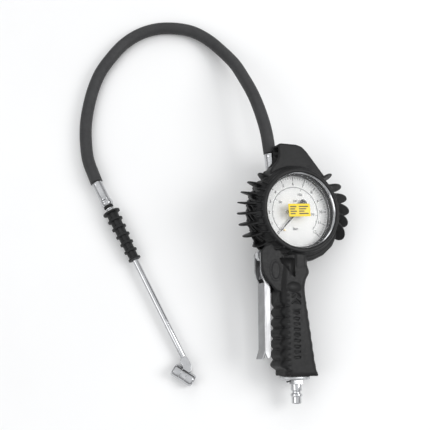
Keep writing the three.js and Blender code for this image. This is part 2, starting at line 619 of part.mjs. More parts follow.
// ---------------------------------------------------------------- lance and chuck
function lanceSet() {
  add(lance, 'lance_ferrule', turned([
    [2.6, 0], [5.2, 0], [5.4, 0.4], [5.4, LANCE_FERRULE - 0.5], [5, LANCE_FERRULE], [2.6, LANCE_FERRULE],
    [2.6, 0],
  ], 24), CHROME);
  add(lance, 'swivel_nut', turned([
    [2.6, 21.7], [5.6, 21.7], [6.2, 22.6], [6.2, 26], [5, 28], [2.6, 28], [2.6, 21.7],
  ], 24), CHROME);
  add(lance, 'swivel_seal', ringY(2.6, 5, 28.3, 30.3, 20), BLACK);
  add(lance, 'lance_nipple', ringY(2, 4, 30.6, GRIP_FROM - GAP, 20), CHROME);

  const rings = [];
  const count = 7;
  const pitch = (GRIP_TO - GRIP_FROM - 2) / (count - 1);
  for (let i = 0; i < count; i += 1) {
    const at = GRIP_FROM + pitch * i;
    const big = i === 0 ? 9 : 8.3 - (1.9 * i) / (count - 1);
    rings.push([6.9 - 0.28 * i, at], [big, at + 0.2], [big, at + 1.8], [6.9 - 0.28 * i, at + 2]);
  }
  add(lance, 'lance_grip', turned([
    [TUBE_R + GAP, GRIP_FROM], ...rings, [TUBE_R + GAP, GRIP_TO], [TUBE_R + GAP, GRIP_FROM],
  ], 14), RUBBER);
  add(lance, 'lance_tube', ringY(1.8, TUBE_R, GRIP_FROM + GAP, 200.9, 20), CHROME);

  chuck();
  const straightDown = new THREE.Quaternion().setFromEuler(new THREE.Euler(0, 0, Math.PI));
  const dip = new THREE.Quaternion().setFromAxisAngle(new THREE.Vector3(1, 0, 0), rad(LANCE_DIP));
  const turn = new THREE.Quaternion().setFromAxisAngle(new THREE.Vector3(0, 0, 1), rad(LANCE_TURN));
  lance.position.set(...LANCE_START);
  lance.quaternion.copy(turn).multiply(dip).multiply(straightDown);
}

// barrel with a mouth at each end, on a block brazed to the tube
function chuck() {
  const mouth = BARREL_LEN / 2 - MOUTH_DEPTH;
  const place = (geometry) => geometry.rotateZ(rad(BARREL_TURN)).translate(-BARREL_AT[1], BARREL_AT[0], 0);
  const outside = turned([
    [0, -BARREL_LEN / 2], [5.3, -BARREL_LEN / 2], [BARREL_R, -BARREL_LEN / 2 + 1.6],
    [BARREL_R, BARREL_LEN / 2 - 1.6], [5.3, BARREL_LEN / 2], [0, BARREL_LEN / 2],
  ], 20);
  const bores = [
    rodY(MOUTH_R, mouth, 20, 20), rodY(MOUTH_R, -20, -mouth, 20), rodY(1.4, -12, 12, 12),
  ].map((bore) => solid(place(bore)));
  const barrel = cut(solid(place(outside)), ...bores);
  add(lance, 'chuck_barrel', geometryOf(barrel), CHROME);

  const gusset = new THREE.Shape([
    [5.1, 203.4], [2.8, 201.2], [-2.6, 201.2], [-3.4, 204], [-3.4, 212], [-0.4, 217.4], [4, 216], [6, 211],
    [4.2, 209.8],
  ].map(([x, y]) => new THREE.Vector2(x, y)));
  const block = new THREE.ExtrudeGeometry(gusset, { depth: 7.6, bevelEnabled: false }).translate(0, 0, -3.8);
  const room = solid(place(rodY(BARREL_R + GAP, -20, 20, 20)));
  add(lance, 'chuck_block', geometryOf(cut(solid(block), room)), CHROME);

  for (const [name, side] of [['front', 1], ['rear', -1]]) {
    const ring = ringY(2, MOUTH_R - GAP, mouth + GAP, mouth + 2.6, 16);
    const pin = turned([[0, mouth - 1], [1, mouth - 1], [1, mouth + 3.6], [0, mouth + 3.6]], 10);
    if (side < 0) {
      ring.rotateZ(Math.PI);
      pin.rotateZ(Math.PI);
    }
    add(lance, `chuck_seal_${name}`, place(ring), BLACK);
    add(lance, `chuck_pin_${name}`, place(pin), BRASS);
  }
}

// ---------------------------------------------------------------- assembly
gauge();
pointerAndMovement();
casting();
headBoot();
gripBoot();
leverSet();
valve();
base();
bodyEnd();
hose();
lanceSet();

body.position.set(...HEAD);
body.rotation.set(rad(PITCH) - Math.PI / 2, 0, 0);
const roll = new THREE.Quaternion().setFromAxisAngle(new THREE.Vector3(0, 0, 1), rad(ROLL));
body.quaternion.multiply(roll);
part.add(body, lance);

export default part;
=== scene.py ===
"""Looks of a hand-held tyre inflator with gauge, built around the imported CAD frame."""

import math

import bmesh
import bpy
import numpy as np
from mathutils import Matrix, Vector


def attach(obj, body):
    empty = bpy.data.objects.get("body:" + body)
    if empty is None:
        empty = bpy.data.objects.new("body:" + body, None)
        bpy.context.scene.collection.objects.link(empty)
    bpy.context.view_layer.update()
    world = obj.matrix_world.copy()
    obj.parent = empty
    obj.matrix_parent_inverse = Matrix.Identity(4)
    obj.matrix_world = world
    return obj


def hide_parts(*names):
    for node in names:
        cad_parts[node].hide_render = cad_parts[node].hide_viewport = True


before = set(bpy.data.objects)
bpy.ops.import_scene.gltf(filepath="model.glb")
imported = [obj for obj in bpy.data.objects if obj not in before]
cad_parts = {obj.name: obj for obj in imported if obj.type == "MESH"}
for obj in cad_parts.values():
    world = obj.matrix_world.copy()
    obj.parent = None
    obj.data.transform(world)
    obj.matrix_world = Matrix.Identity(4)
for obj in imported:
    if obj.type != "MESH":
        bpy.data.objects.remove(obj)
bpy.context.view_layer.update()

# ---------------------------------------------------------------- driving dimensions, millimetres
MM = 0.001
ROLL = math.radians(21.4)          # lean of the body about its long axis
PITCH = math.radians(6.1)          # rise of the gauge end
HEAD = (66.56, 57.94, 35.93)       # point on the gauge axis
LANCE_START = (-134.1, 98, 9.55)
LANCE_TURN = math.radians(27.3)
LANCE_DIP = math.radians(0.84)

BODY = (Matrix.Translation(Vector(HEAD) * MM)
        @ Matrix.Rotation(PITCH - math.pi / 2, 4, "X") @ Matrix.Rotation(ROLL, 4, "Z"))
LANCE = (Matrix.Translation(Vector(LANCE_START) * MM)
         @ Matrix.Rotation(LANCE_TURN, 4, "Z") @ Matrix.Rotation(LANCE_DIP, 4, "X")
         @ Matrix.Rotation(math.pi, 4, "Z"))

CASE_R = 39.0
CASE_WALL = 1.5
CASE_FRONT = -13.0
CASE_BACK = 14.0
BEZEL_R = 40.0
BEZEL_LIP_R = 36.6
BEZEL_FRONT = -17.8
BEZEL_REAR = -8.0
LENS_R = 37.2
LENS_FRONT = -14.4
LENS_THICK = 2.0
DIAL_R = 36.5
DIAL_FRONT = -4.4
DIAL_TURN = math.radians(4)        # the dial sits turned a little against the stem

BOOT_FRONT = -19.4
BOOT_BACK = 24.2
FIN_HALF = 12.0
FIN_TWIST = (0.3, 0.2)             # degrees per millimetre of depth, on the right and on the left

PORT = (-16.0, 13.4)
PORT_TOP = 41.2
FERRULE_LEAN = math.radians(6.5)
FERRULE_R = 6.0
FERRULE_FOOT = 3.1
FERRULE_LEN = 17.5
HOSE_R = 6.4

PIN_X, PIN_Z = -36.0, -44.0
VALVE_Z = -60.0
GRIP_TOP = -44.0
GRIP_BOTTOM = -158.0
FLANGE_TOP = -158.3
FLANGE_THICK = 3.2
NIPPLE_END = -184.0

LANCE_FERRULE = 21.4
LANCE_GRIP = (35.2, 91.5)
TUBE_R = 2.9
TUBE_END = 200.9
BARREL_AT = (7.85, 216.5)
BARREL_TURN = math.radians(31)
BARREL_LEN = 23.0
BARREL_R = 6.2
MOUTH_R = 4.2
MOUTH_DEPTH = 8.0


# ---------------------------------------------------------------- camera, light and floor
CAMERA_DISTANCE = 750.0
CAMERA_ELEVATION = math.radians(74)
CAMERA_TARGET = (-10.99, 57.54, 30.0)
VIEW_WIDTH = 430.0                 # width of the view at the target
SENSOR = 36.0


def camera():
    data = bpy.data.cameras.new("camera")
    data.sensor_width = SENSOR
    data.lens = SENSOR * CAMERA_DISTANCE / VIEW_WIDTH
    data.clip_start = 0.01
    obj = bpy.data.objects.new("camera", data)
    bpy.context.scene.collection.objects.link(obj)
    behind = Vector((0, -math.cos(CAMERA_ELEVATION), math.sin(CAMERA_ELEVATION)))
    obj.location = (Vector(CAMERA_TARGET) + CAMERA_DISTANCE * behind) * MM
    obj.rotation_euler = (math.pi / 2 - CAMERA_ELEVATION, 0, 0)
    bpy.context.scene.camera = obj


camera()

# the hose's route, as the CAD model has it, in metres
HOSE_ROUTE = [
    (0.0446, 0.1205, 0.03685), (0.0412, 0.143, 0.0392), (0.0358, 0.165, 0.038), (0.029, 0.187, 0.0332),
    (0.020, 0.209, 0.0264), (0.010, 0.230, 0.019), (-0.004, 0.249, 0.0126), (-0.019, 0.265, 0.0084),
    (-0.037, 0.276, 0.0068), (-0.057, 0.280, 0.0065), (-0.077, 0.279, 0.0065), (-0.096, 0.272, 0.0065),
    (-0.112, 0.260, 0.0065), (-0.125, 0.244, 0.0065), (-0.136, 0.226, 0.0065), (-0.143, 0.206, 0.0065),
    (-0.147, 0.186, 0.0065), (-0.149, 0.165, 0.0066), (-0.148, 0.145, 0.0069), (-0.1444, 0.124, 0.0078),
    (-0.1343, 0.0986, 0.00955),
]


# ---------------------------------------------------------------- mesh helpers
def link(name, mesh, matrix=Matrix.Identity(4)):
    obj = bpy.data.objects.new(name, mesh)
    obj.matrix_world = matrix
    bpy.context.scene.collection.objects.link(obj)
    return obj


class Shape:
    """Points and faces in millimetres, gathered from several closed bodies."""

    def __init__(self, points=(), faces=()):
        self.points = [tuple(p) for p in points]
        self.faces = [tuple(f) for f in faces]

    def add(self, other):
        start = len(self.points)
        self.points += other.points
        self.faces += [tuple(i + start for i in face) for face in other.faces]
        return self

    def moved(self, matrix):
        return Shape([tuple(matrix @ Vector(p)) for p in self.points], self.faces)

    def at(self, x, y, z):
        return self.moved(Matrix.Translation((x, y, z)))

    def mesh(self, name):
        mesh = bpy.data.meshes.new(name)
        mesh.from_pydata([tuple(c * MM for c in p) for p in self.points], [], self.faces)
        mesh.validate()
        mesh.update()
        return mesh


def union(*shapes):
    whole = Shape()
    for shape in shapes:
        whole.add(shape)
    return whole


def outward(obj):
    work = bmesh.new()
    work.from_mesh(obj.data)
    bmesh.ops.remove_doubles(work, verts=work.verts, dist=1e-7)
    bmesh.ops.recalc_face_normals(work, faces=work.faces)
    work.to_mesh(obj.data)
    work.free()


def shade_smooth(obj):
    obj.data.polygons.foreach_set("use_smooth", [True] * len(obj.data.polygons))


def piece(name, shape, matrix, look, body, replaces=(), angle=38, cutters=()):
    """Closed shape with its cutters taken away, smooth up to the angle between its faces."""
    obj = link(name, shape.mesh(name), matrix)
    outward(obj)
    carve(obj, *cutters)
    shade_smooth(obj)
    obj.data.set_sharp_from_angle(angle=math.radians(angle))
    obj.data.update()
    return finish_piece(obj, look, body, replaces)


def finish_piece(obj, look, body, replaces=()):
    obj.data.materials.clear()
    obj.data.materials.append(look)
    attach(obj, body)
    if replaces:
        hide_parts(*replaces)
    return obj


def evaluated_mesh(obj):
    bpy.context.view_layer.update()
    depsgraph = bpy.context.evaluated_depsgraph_get()
    return bpy.data.meshes.new_from_object(obj.evaluated_get(depsgraph))


def apply(obj, kind, **settings):
    modifier = obj.modifiers.new(kind.lower(), kind)
    for key, value in settings.items():
        setattr(modifier, key, value)
    mesh = evaluated_mesh(obj)
    obj.modifiers.clear()
    old = obj.data
    obj.data = mesh
    bpy.data.meshes.remove(old)


def carve(obj, *cutters):
    for number, shape in enumerate(cutters):
        cutter = link(f"cutter_{number}", shape.mesh("cutter"), obj.matrix_world)
        outward(cutter)
        apply(obj, "BOOLEAN", operation="DIFFERENCE", solver="MANIFOLD", object=cutter)
        bpy.data.objects.remove(cutter)


def fused(name, shape, matrix, voxel, rounds, keep, cutters=()):
    """One skin over overlapping bodies, with its creases softened."""
    obj = link(name, shape.mesh(name), matrix)
    outward(obj)
    apply(obj, "REMESH", mode="VOXEL", voxel_size=voxel * MM, use_smooth_shade=True)
    carve(obj, *cutters)
    apply(obj, "SMOOTH", factor=0.5, iterations=rounds)
    apply(obj, "DECIMATE", ratio=keep)
    shade_smooth(obj)
    return obj


def corners(left, low, right, high):
    return [(left, low), (right, low), (right, high), (left, high)]


def rounded(points, radius, steps=4, closed=True):
    """A polyline with its corners turned into arcs; radius is one number or one for each point."""
    count = len(points)
    out = []
    for i, point in enumerate(points):
        size = radius[i] if hasattr(radius, "__len__") else radius
        if (not closed and i in (0, count - 1)) or size <= 0:
            out.append(tuple(point))
            continue
        here = Vector(point)
        back = Vector(points[i - 1]) - here
        ahead = Vector(points[(i + 1) % count]) - here
        turn = back.angle(ahead)
        if turn > math.radians(176):
            out.append(tuple(point))
            continue
        reach = min(size / math.tan(turn / 2), 0.48 * back.length, 0.48 * ahead.length)
        start = here + back.normalized() * reach
        end = here + ahead.normalized() * reach
        for k in range(steps + 1):
            t = k / steps
            out.append(tuple((1 - t) ** 2 * start + 2 * t * (1 - t) * here + t ** 2 * end))
    return out


def circle(sides):
    return [2 * math.pi * i / sides for i in range(sides)]


def polar(radius, angle, y):
    return Vector((radius * math.cos(angle), y, radius * math.sin(angle)))


def lathe(profile, sides=96, axis="Y"):
    """Turned body from [radius, height] points; a profile that does not end on the axis is closed."""
    on_axis = profile[0][0] < 1e-6 and profile[-1][0] < 1e-6
    points = [(r * math.cos(t), h, r * math.sin(t)) for t in circle(sides) for r, h in profile]
    count = len(profile)
    rows = count - 1 if on_axis else count
    faces = []
    for i in range(sides):
        j = (i + 1) % sides
        for k in range(rows):
            n = (k + 1) % count
            faces.append((i * count + k, i * count + n, j * count + n, j * count + k))
    shape = Shape(points, faces)
    if axis == "X":
        return shape.moved(Matrix.Rotation(-math.pi / 2, 4, "Z"))
    if axis == "Z":
        return shape.moved(Matrix.Rotation(math.pi / 2, 4, "X"))
    return shape


def rod(radius, low, high, sides=48, axis="Y", edge=0.25):
    return lathe(rounded(corners(0, low, radius, high), edge, 3, False), sides, axis)


def loft(sections, closed_ends=True):
    sides = len(sections[0])
    points = [p for section in sections for p in section]
    faces = []
    for s in range(len(sections) - 1):
        for i in range(sides):
            j = (i + 1) % sides
            faces.append((s * sides + i, s * sides + j, (s + 1) * sides + j, (s + 1) * sides + i))
    if closed_ends:
        faces.append(tuple(reversed(range(sides))))
        faces.append(tuple((len(sections) - 1) * sides + i for i in range(sides)))
    return Shape(points, faces)


def inset_outline(outline, inset):
    """Each point moved inwards along the mean normal of its two edges."""
    count = len(outline)
    area = sum(outline[i - 1][0] * outline[i][1] - outline[i][0] * outline[i - 1][1] for i in range(count))
    sign = 1 if area > 0 else -1
    out = []
    for i in range(count):
        before = Vector(outline[i]) - Vector(outline[i - 1])
        after = Vector(outline[(i + 1) % count]) - Vector(outline[i])
        normals = [Vector((-v.y, v.x)).normalized() for v in (before, after) if v.length > 1e-9]
        mean = sum(normals, Vector((0, 0)))
        mean = mean.normalized() if mean.length > 1e-6 else Vector((0, 0))
        out.append(tuple(Vector(outline[i]) + sign * inset * mean))
    return out


def plate(outline, low, high, edge=0.0, steps=3):
    """Plate in the x-z plane with its thickness along y and its two rims rounded."""
    layers = [(low, 0), (high, 0)]
    if edge:
        bend = [math.pi / 2 * k / steps for k in range(steps + 1)]
        layers = [(low + edge * (1 - math.cos(t)), edge * (1 - math.sin(t))) for t in bend]
        layers += [(high - edge * (1 - math.cos(t)), edge * (1 - math.sin(t))) for t in reversed(bend)]
    return loft([[(x, y, z) for x, z in inset_outline(outline, inset)] for y, inset in layers])


def catmull(points, steps):
    """Centripetal Catmull-Rom curve through the points, sampled evenly by length."""
    power = 0.5
    pts = [Vector(p) for p in points]
    pts = [2 * pts[0] - pts[1]] + pts + [2 * pts[-1] - pts[-2]]
    dense = []
    for i in range(1, len(pts) - 2):
        p0, p1, p2, p3 = pts[i - 1:i + 3]
        t0 = 0.0
        t1 = t0 + (p1 - p0).length ** power
        t2 = t1 + (p2 - p1).length ** power
        t3 = t2 + (p3 - p2).length ** power
        for k in range(40):
            t = t1 + (t2 - t1) * k / 40
            a1 = (t1 - t) / (t1 - t0) * p0 + (t - t0) / (t1 - t0) * p1
            a2 = (t2 - t) / (t2 - t1) * p1 + (t - t1) / (t2 - t1) * p2
            a3 = (t3 - t) / (t3 - t2) * p2 + (t - t2) / (t3 - t2) * p3
            b1 = (t2 - t) / (t2 - t0) * a1 + (t - t0) / (t2 - t0) * a2
            b2 = (t3 - t) / (t3 - t1) * a2 + (t - t1) / (t3 - t1) * a3
            dense.append((t2 - t) / (t2 - t1) * b1 + (t - t1) / (t2 - t1) * b2)
    dense.append(pts[-2])
    lengths = np.concatenate([[0], np.cumsum([(b - a).length for a, b in zip(dense, dense[1:])])])
    wanted = np.linspace(0, lengths[-1], steps + 1)
    coords = np.array([tuple(p) for p in dense])
    even = np.stack([np.interp(wanted, lengths, coords[:, k]) for k in range(3)], axis=1)
    return [Vector(p) for p in even], float(lengths[-1])


def tube(path, radius, sides=24, start_up=Vector((0, 0, 1))):
    """Round tube along points with a frame carried along; radius is a number or a function of 0..1."""
    last = len(path) - 1
    tangents = [(path[min(i + 1, last)] - path[max(i - 1, 0)]).normalized() for i in range(last + 1)]
    side = tangents[0].cross(start_up)
    side = side.normalized() if side.length > 1e-6 else tangents[0].orthogonal().normalized()
    sections = []
    for i, (point, tangent) in enumerate(zip(path, tangents)):
        side = (side - tangent * side.dot(tangent)).normalized()
        other = tangent.cross(side)
        r = radius(i / last) if callable(radius) else radius
        sections.append([point + r * (math.cos(t) * side + math.sin(t) * other) for t in circle(sides)])
    return loft(sections)


def helix(radius, low, high, turns, sides):
    count = int(turns * sides)
    return [polar(radius, 2 * math.pi * i / sides, low + (high - low) * i / count) for i in range(count + 1)]


def hexagon(radius, edge, layers):
    """Hexagonal nut along z from layers of [height, scale]."""
    outline = rounded([(radius * math.cos(t), radius * math.sin(t)) for t in circle(6)], edge, 3)
    return loft([[(x * scale, y * scale, z) for x, y in outline] for z, scale in layers])


# ---------------------------------------------------------------- materials
class Look:
    """Small helper round one material's node tree."""

    def __init__(self, name):
        self.material = bpy.data.materials.new(name)
        self.material.use_nodes = True
        self.nodes = self.material.node_tree.nodes
        self.links = self.material.node_tree.links
        self.shader = self.nodes["Principled BSDF"]

    def node(self, kind, inputs=(), **settings):
        node = self.nodes.new(kind)
        for key, value in settings.items():
            setattr(node, key, value)
        for key, value in dict(inputs).items():
            if isinstance(value, bpy.types.NodeSocket):
                self.links.new(value, node.inputs[key])
            else:
                node.inputs[key].default_value = value
        return node

    def set(self, socket, value):
        if isinstance(value, bpy.types.NodeSocket):
            self.links.new(value, self.shader.inputs[socket])
        else:
            self.shader.inputs[socket].default_value = value

    def place(self, stretch=(1, 1, 1)):
        coords = self.node("ShaderNodeTexCoord")
        inputs = {"Vector": coords.outputs["Object"], "Scale": stretch}
        return self.node("ShaderNodeMapping", inputs).outputs[0]

    def noise(self, place, scale, detail=4.0, roughness=0.55, distortion=0.0):
        inputs = {"Vector": place, "Scale": scale, "Detail": detail, "Roughness": roughness,
                  "Distortion": distortion}
        return self.node("ShaderNodeTexNoise", inputs).outputs["Fac"]

    def spread(self, value, low, high, out_low, out_high):
        inputs = {"Value": value, "From Min": low, "From Max": high, "To Min": out_low, "To Max": out_high}
        return self.node("ShaderNodeMapRange", inputs).outputs["Result"]

    def mix(self, factor, first, second):
        node = self.nodes.new("ShaderNodeMix")
        node.data_type = "RGBA"
        for socket, value in ((0, factor), (6, first), (7, second)):
            if isinstance(value, bpy.types.NodeSocket):
                self.links.new(value, node.inputs[socket])
            else:
                node.inputs[socket].default_value = value
        return node.outputs[2]

    def math(self, operation, first, second=0.0):
        return self.node("ShaderNodeMath", {0: first, 1: second}, operation=operation).outputs[0]

    def bump(self, height, strength, distance, normal=None):
        inputs = {"Height": height, "Strength": strength, "Distance": distance}
        if normal is not None:
            inputs["Normal"] = normal
        return self.node("ShaderNodeBump", inputs).outputs["Normal"]

    def worn_edge(self, low, high):
        """0 on flat skin, 1 on outer edges."""
        edge = self.node("ShaderNodeNewGeometry").outputs["Pointiness"]
        return self.spread(edge, low, high, 0.0, 1.0)


def rgba(color):
    return (*color, 1.0) if len(color) == 3 else color


def surface(name, dark, light, rough, metallic=0.0, clouds=60.0, grain=1800.0, grain_depth=0.00004,
            grain_strength=0.35, edge=None, edge_range=(0.52, 0.6), stretch=(1, 1, 1), **sockets):
    """Noise-mottled colour and roughness, a fine grain in the bump, and a lighter tone on worn edges."""
    look = Look(name)
    place = look.place()
    cloud = look.spread(look.noise(place, clouds), 0.3, 0.7, 0.0, 1.0)
    color = look.mix(cloud, rgba(dark), rgba(light))
    if edge:
        patches = look.spread(look.noise(place, clouds * 4), 0.35, 0.65, 0.25, 1.0)
        color = look.mix(look.math("MULTIPLY", look.worn_edge(*edge_range), patches), color, rgba(edge))
    look.set("Base Color", color)
    streaks = look.noise(look.place(stretch), grain)
    look.set("Roughness", look.spread(look.noise(look.place(stretch), grain / 5), 0.3, 0.7, *rough))
    look.set("Normal", look.bump(streaks, grain_strength, grain_depth))
    look.set("Metallic", metallic)
    for socket, value in sockets.items():
        look.set(socket.replace("_", " "), value)
    return look.material


RUBBER = surface("boot rubber", (0.006, 0.006, 0.0063), (0.012, 0.012, 0.0125), (0.42, 0.56), clouds=45,
                 grain=2600, grain_depth=0.00006, edge=(0.026, 0.026, 0.027), Specular_IOR_Level=0.24)
SEAL = surface("seal rubber", (0.008, 0.008, 0.008), (0.014, 0.014, 0.014), (0.45, 0.6), grain=3000,
               Specular_IOR_Level=0.25)
GRIP_RUBBER = surface("lance grip rubber", (0.009, 0.009, 0.0095), (0.017, 0.017, 0.0175), (0.4, 0.58),
                      clouds=80, grain=3200, edge=(0.035, 0.035, 0.036), Specular_IOR_Level=0.3)
CAST = surface("cast aluminium", (0.42, 0.43, 0.44), (0.58, 0.59, 0.6), (0.38, 0.55), 1.0, clouds=120,
               grain=1500, grain_depth=0.00012, grain_strength=0.6, edge=(0.78, 0.79, 0.8))
LEVER_METAL = surface("satin lever plate", (0.3, 0.3, 0.305), (0.38, 0.38, 0.39), (0.36, 0.5), 1.0,
                      clouds=90, grain=900, grain_depth=0.00002, stretch=(4, 4, 0.25),
                      edge=(0.85, 0.85, 0.86))
CHROME = surface("chrome plate", (0.5, 0.505, 0.515), (0.6, 0.605, 0.62), (0.1, 0.2), 1.0, clouds=140,
                 grain=700, grain_depth=0.000006, grain_strength=0.2)
STEEL = surface("zinc plated steel", (0.4, 0.4, 0.39), (0.52, 0.52, 0.51), (0.25, 0.4), 1.0, clouds=200,
                grain=2200, grain_depth=0.00002)
BRASS = surface("brass", (0.56, 0.4, 0.17), (0.72, 0.53, 0.24), (0.24, 0.4), 1.0, clouds=180, grain=2000,
                grain_depth=0.00002, edge=(0.85, 0.68, 0.36))
CASE_STEEL = surface("gauge case steel", (0.36, 0.36, 0.37), (0.5, 0.5, 0.51), (0.2, 0.34), 1.0, clouds=60,
                     grain=900, grain_depth=0.00001)
DIAL_WHITE = surface("printed dial white", (0.78, 0.78, 0.77), (0.86, 0.86, 0.85), (0.42, 0.55), clouds=40,
                     grain=3200, grain_depth=0.00001)
INK = surface("dial ink", (0.02, 0.02, 0.022), (0.05, 0.05, 0.054), (0.4, 0.6), clouds=500, grain=4000,
              grain_depth=0.00001)
POINTER_BLACK = surface("pointer lacquer", (0.012, 0.012, 0.013), (0.025, 0.025, 0.026), (0.3, 0.45),
                        clouds=220, grain=3000, grain_depth=0.00001)
YELLOW = surface("sticker yellow", (0.82, 0.6, 0.02), (0.9, 0.68, 0.03), (0.35, 0.5), clouds=150, grain=2500,
                 grain_depth=0.00001)
LABEL_INK = surface("sticker print", (0.05, 0.045, 0.02), (0.09, 0.08, 0.04), (0.35, 0.5), clouds=300,
                    grain=2500, grain_depth=0.00001)


def lens_look():
    look = Look("clear lens")
    place = look.place()
    haze = look.noise(place, 30.0)
    look.set("Base Color", look.mix(haze, (0.93, 0.95, 0.96, 1), (0.98, 0.99, 1.0, 1)))
    look.set("Roughness", look.spread(look.noise(place, 400.0), 0.3, 0.7, 0.03, 0.08))
    look.set("Normal", look.bump(look.noise(place, 90.0, 1.0), 0.04, 0.00005))
    look.set("Alpha", 0.035)
    look.set("Specular IOR Level", 1.0)
    return look.material


def hose_look():
    """Black rubber that keeps the imprint of the cloth it was cured in."""
    thread_pitch, wrap_pitch, threads_round = 0.0016, 0.022, 22
    look = Look("hose rubber")
    coords = look.node("ShaderNodeTexCoord").outputs["UV"]
    split = look.node("ShaderNodeSeparateXYZ", {"Vector": coords})
    along = look.math("MULTIPLY", split.outputs["X"], 2 * math.pi / thread_pitch)
    turn = look.math("MULTIPLY", split.outputs["Y"], 2 * math.pi * threads_round)
    first = look.math("SINE", look.math("ADD", along, turn))
    second = look.math("SINE", look.math("SUBTRACT", along, turn))
    weave = look.math("MAXIMUM", first, second)
    wrap_along = look.math("MULTIPLY", split.outputs["X"], 2 * math.pi / wrap_pitch)
    wrap_turn = look.math("MULTIPLY", split.outputs["Y"], 2 * math.pi)
    wrap = look.math("SINE", look.math("ADD", wrap_along, wrap_turn))
    place = look.place()
    cloud = look.spread(look.noise(place, 55.0), 0.3, 0.7, 0.0, 1.0)
    skin = look.mix(cloud, (0.014, 0.014, 0.015, 1), (0.024, 0.024, 0.025, 1))
    look.set("Base Color", look.mix(look.spread(weave, 0.2, 1.0, 0.0, 0.45), skin, (0.045, 0.045, 0.047, 1)))
    look.set("Roughness", look.spread(look.noise(place, 300.0), 0.3, 0.7, 0.48, 0.66))
    coarse = look.bump(look.math("POWER", look.math("ABSOLUTE", wrap), 12.0), 0.25, 0.0001)
    look.set("Normal", look.bump(weave, 0.5, 0.00012, coarse))
    return look.material


LENS = lens_look()
HOSE = hose_look()


# ---------------------------------------------------------------- hose
def hose():
    path, length = catmull(HOSE_ROUTE, 420)
    sides = 40
    shape = tube([p / MM for p in path], HOSE_R, sides)
    obj = link("hose_skin", shape.mesh("hose_skin"))
    uv = obj.data.uv_layers.new(name="UVMap")
    for polygon in obj.data.polygons:
        indices = [obj.data.loops[i].vertex_index for i in polygon.loop_indices]
        rows = [c // sides for c in indices]
        turns = [c % sides for c in indices]
        wraps = max(turns) - min(turns) > sides / 2
        for loop, row, turn in zip(polygon.loop_indices, rows, turns):
            side = turn + sides if wraps and turn < sides / 2 else turn
            uv.data[loop].uv = (row / (len(path) - 1) * length, side / sides)
    shade_smooth(obj)
    finish_piece(obj, HOSE, "root", ["hose"])
    return obj, path, length


hose_piece, hose_path, hose_length = hose()


# ---------------------------------------------------------------- gauge
def gauge():
    edge = 0.25
    inner = CASE_R - CASE_WALL
    floor = CASE_BACK - CASE_WALL
    wall = rounded([(0, CASE_BACK), (CASE_R, CASE_BACK), (CASE_R, CASE_FRONT), (inner, CASE_FRONT),
                    (inner, floor), (0, floor)], [0, 1.6, edge, edge, 1.0, 0], 4, False)
    piece("case_shell", lathe(wall, 160), BODY, CASE_STEEL, "root", ["gauge_case"])

    ring = rounded([(CASE_R + 0.3, BEZEL_REAR), (BEZEL_R, BEZEL_REAR), (BEZEL_R, BEZEL_FRONT + 0.9),
                    (BEZEL_R - 0.9, BEZEL_FRONT), (BEZEL_R - 2.2, BEZEL_FRONT),
                    (BEZEL_LIP_R, BEZEL_FRONT + 1.3), (BEZEL_LIP_R, LENS_FRONT - 0.3),
                    (CASE_R - 0.9, LENS_FRONT - 0.3), (CASE_R + 0.3, CASE_FRONT - 0.3)], 0.5, 4)
    piece("bezel_ring", lathe(ring, 192), BODY, CHROME, "root", ["gauge_bezel"])

    lens_rear = LENS_FRONT + LENS_THICK
    piece("lens_disc", rod(LENS_R, LENS_FRONT, lens_rear, 160, edge=0.3), BODY, LENS, "root",
          ["gauge_lens"])
    gasket = rounded(corners(LENS_R - 2, lens_rear + 0.3, LENS_R, lens_rear + 1.8), 0.4)
    piece("lens_gasket", lathe(gasket, 128), BODY, SEAL, "root", ["bezel_gasket"])

    plate_ring = rounded(corners(2.0, DIAL_FRONT, DIAL_R, DIAL_FRONT + 0.8), 0.15, 2)
    piece("dial_disc", lathe(plate_ring, 160), BODY, DIAL_WHITE, "root", ["dial_plate"])

    for side, x in (("left", -9), ("right", 9)):
        head = lathe(rounded([(0, DIAL_FRONT - 0.9), (1.2, DIAL_FRONT - 0.9), (1.8, DIAL_FRONT - 0.5),
                              (1.8, DIAL_FRONT - 0.02), (0, DIAL_FRONT - 0.02)], 0.2, 3, False), 32)
        slot_cut = plate(corners(-2, -0.18, 2, 0.18), DIAL_FRONT - 2, DIAL_FRONT - 0.55)
        turn = Matrix.Translation((x, 0, 0)) @ Matrix.Rotation(math.radians(35 if x > 0 else -20), 4, "Y")
        piece(f"dial_fixing_{side}", head.at(x, 0, 0), BODY, STEEL, "root", [f"dial_screw_{side}"],
              cutters=[slot_cut.moved(turn)])


PRINT_THICK = 0.06
PRINT_TOP = DIAL_FRONT - 0.05


def strip(angle, start, end, width):
    """Thin radial bar on the dial, seen from the front."""
    c, s = math.cos(angle), math.sin(angle)
    half = width / 2
    outline = [(r * c - t * s, r * s + t * c) for r, t in
               ((start, -half), (end, -half), (end, half), (start, half))]
    return plate(outline, PRINT_TOP, PRINT_TOP + PRINT_THICK)


def arc_strip(radius, width, first, last):
    steps = 96
    ring = corners(radius - width / 2, PRINT_TOP, radius + width / 2, PRINT_TOP + PRINT_THICK)
    turns = [first + (last - first) * i / steps for i in range(steps + 1)]
    return loft([[(r * math.cos(t), y, r * math.sin(t)) for r, y in ring] for t in turns])


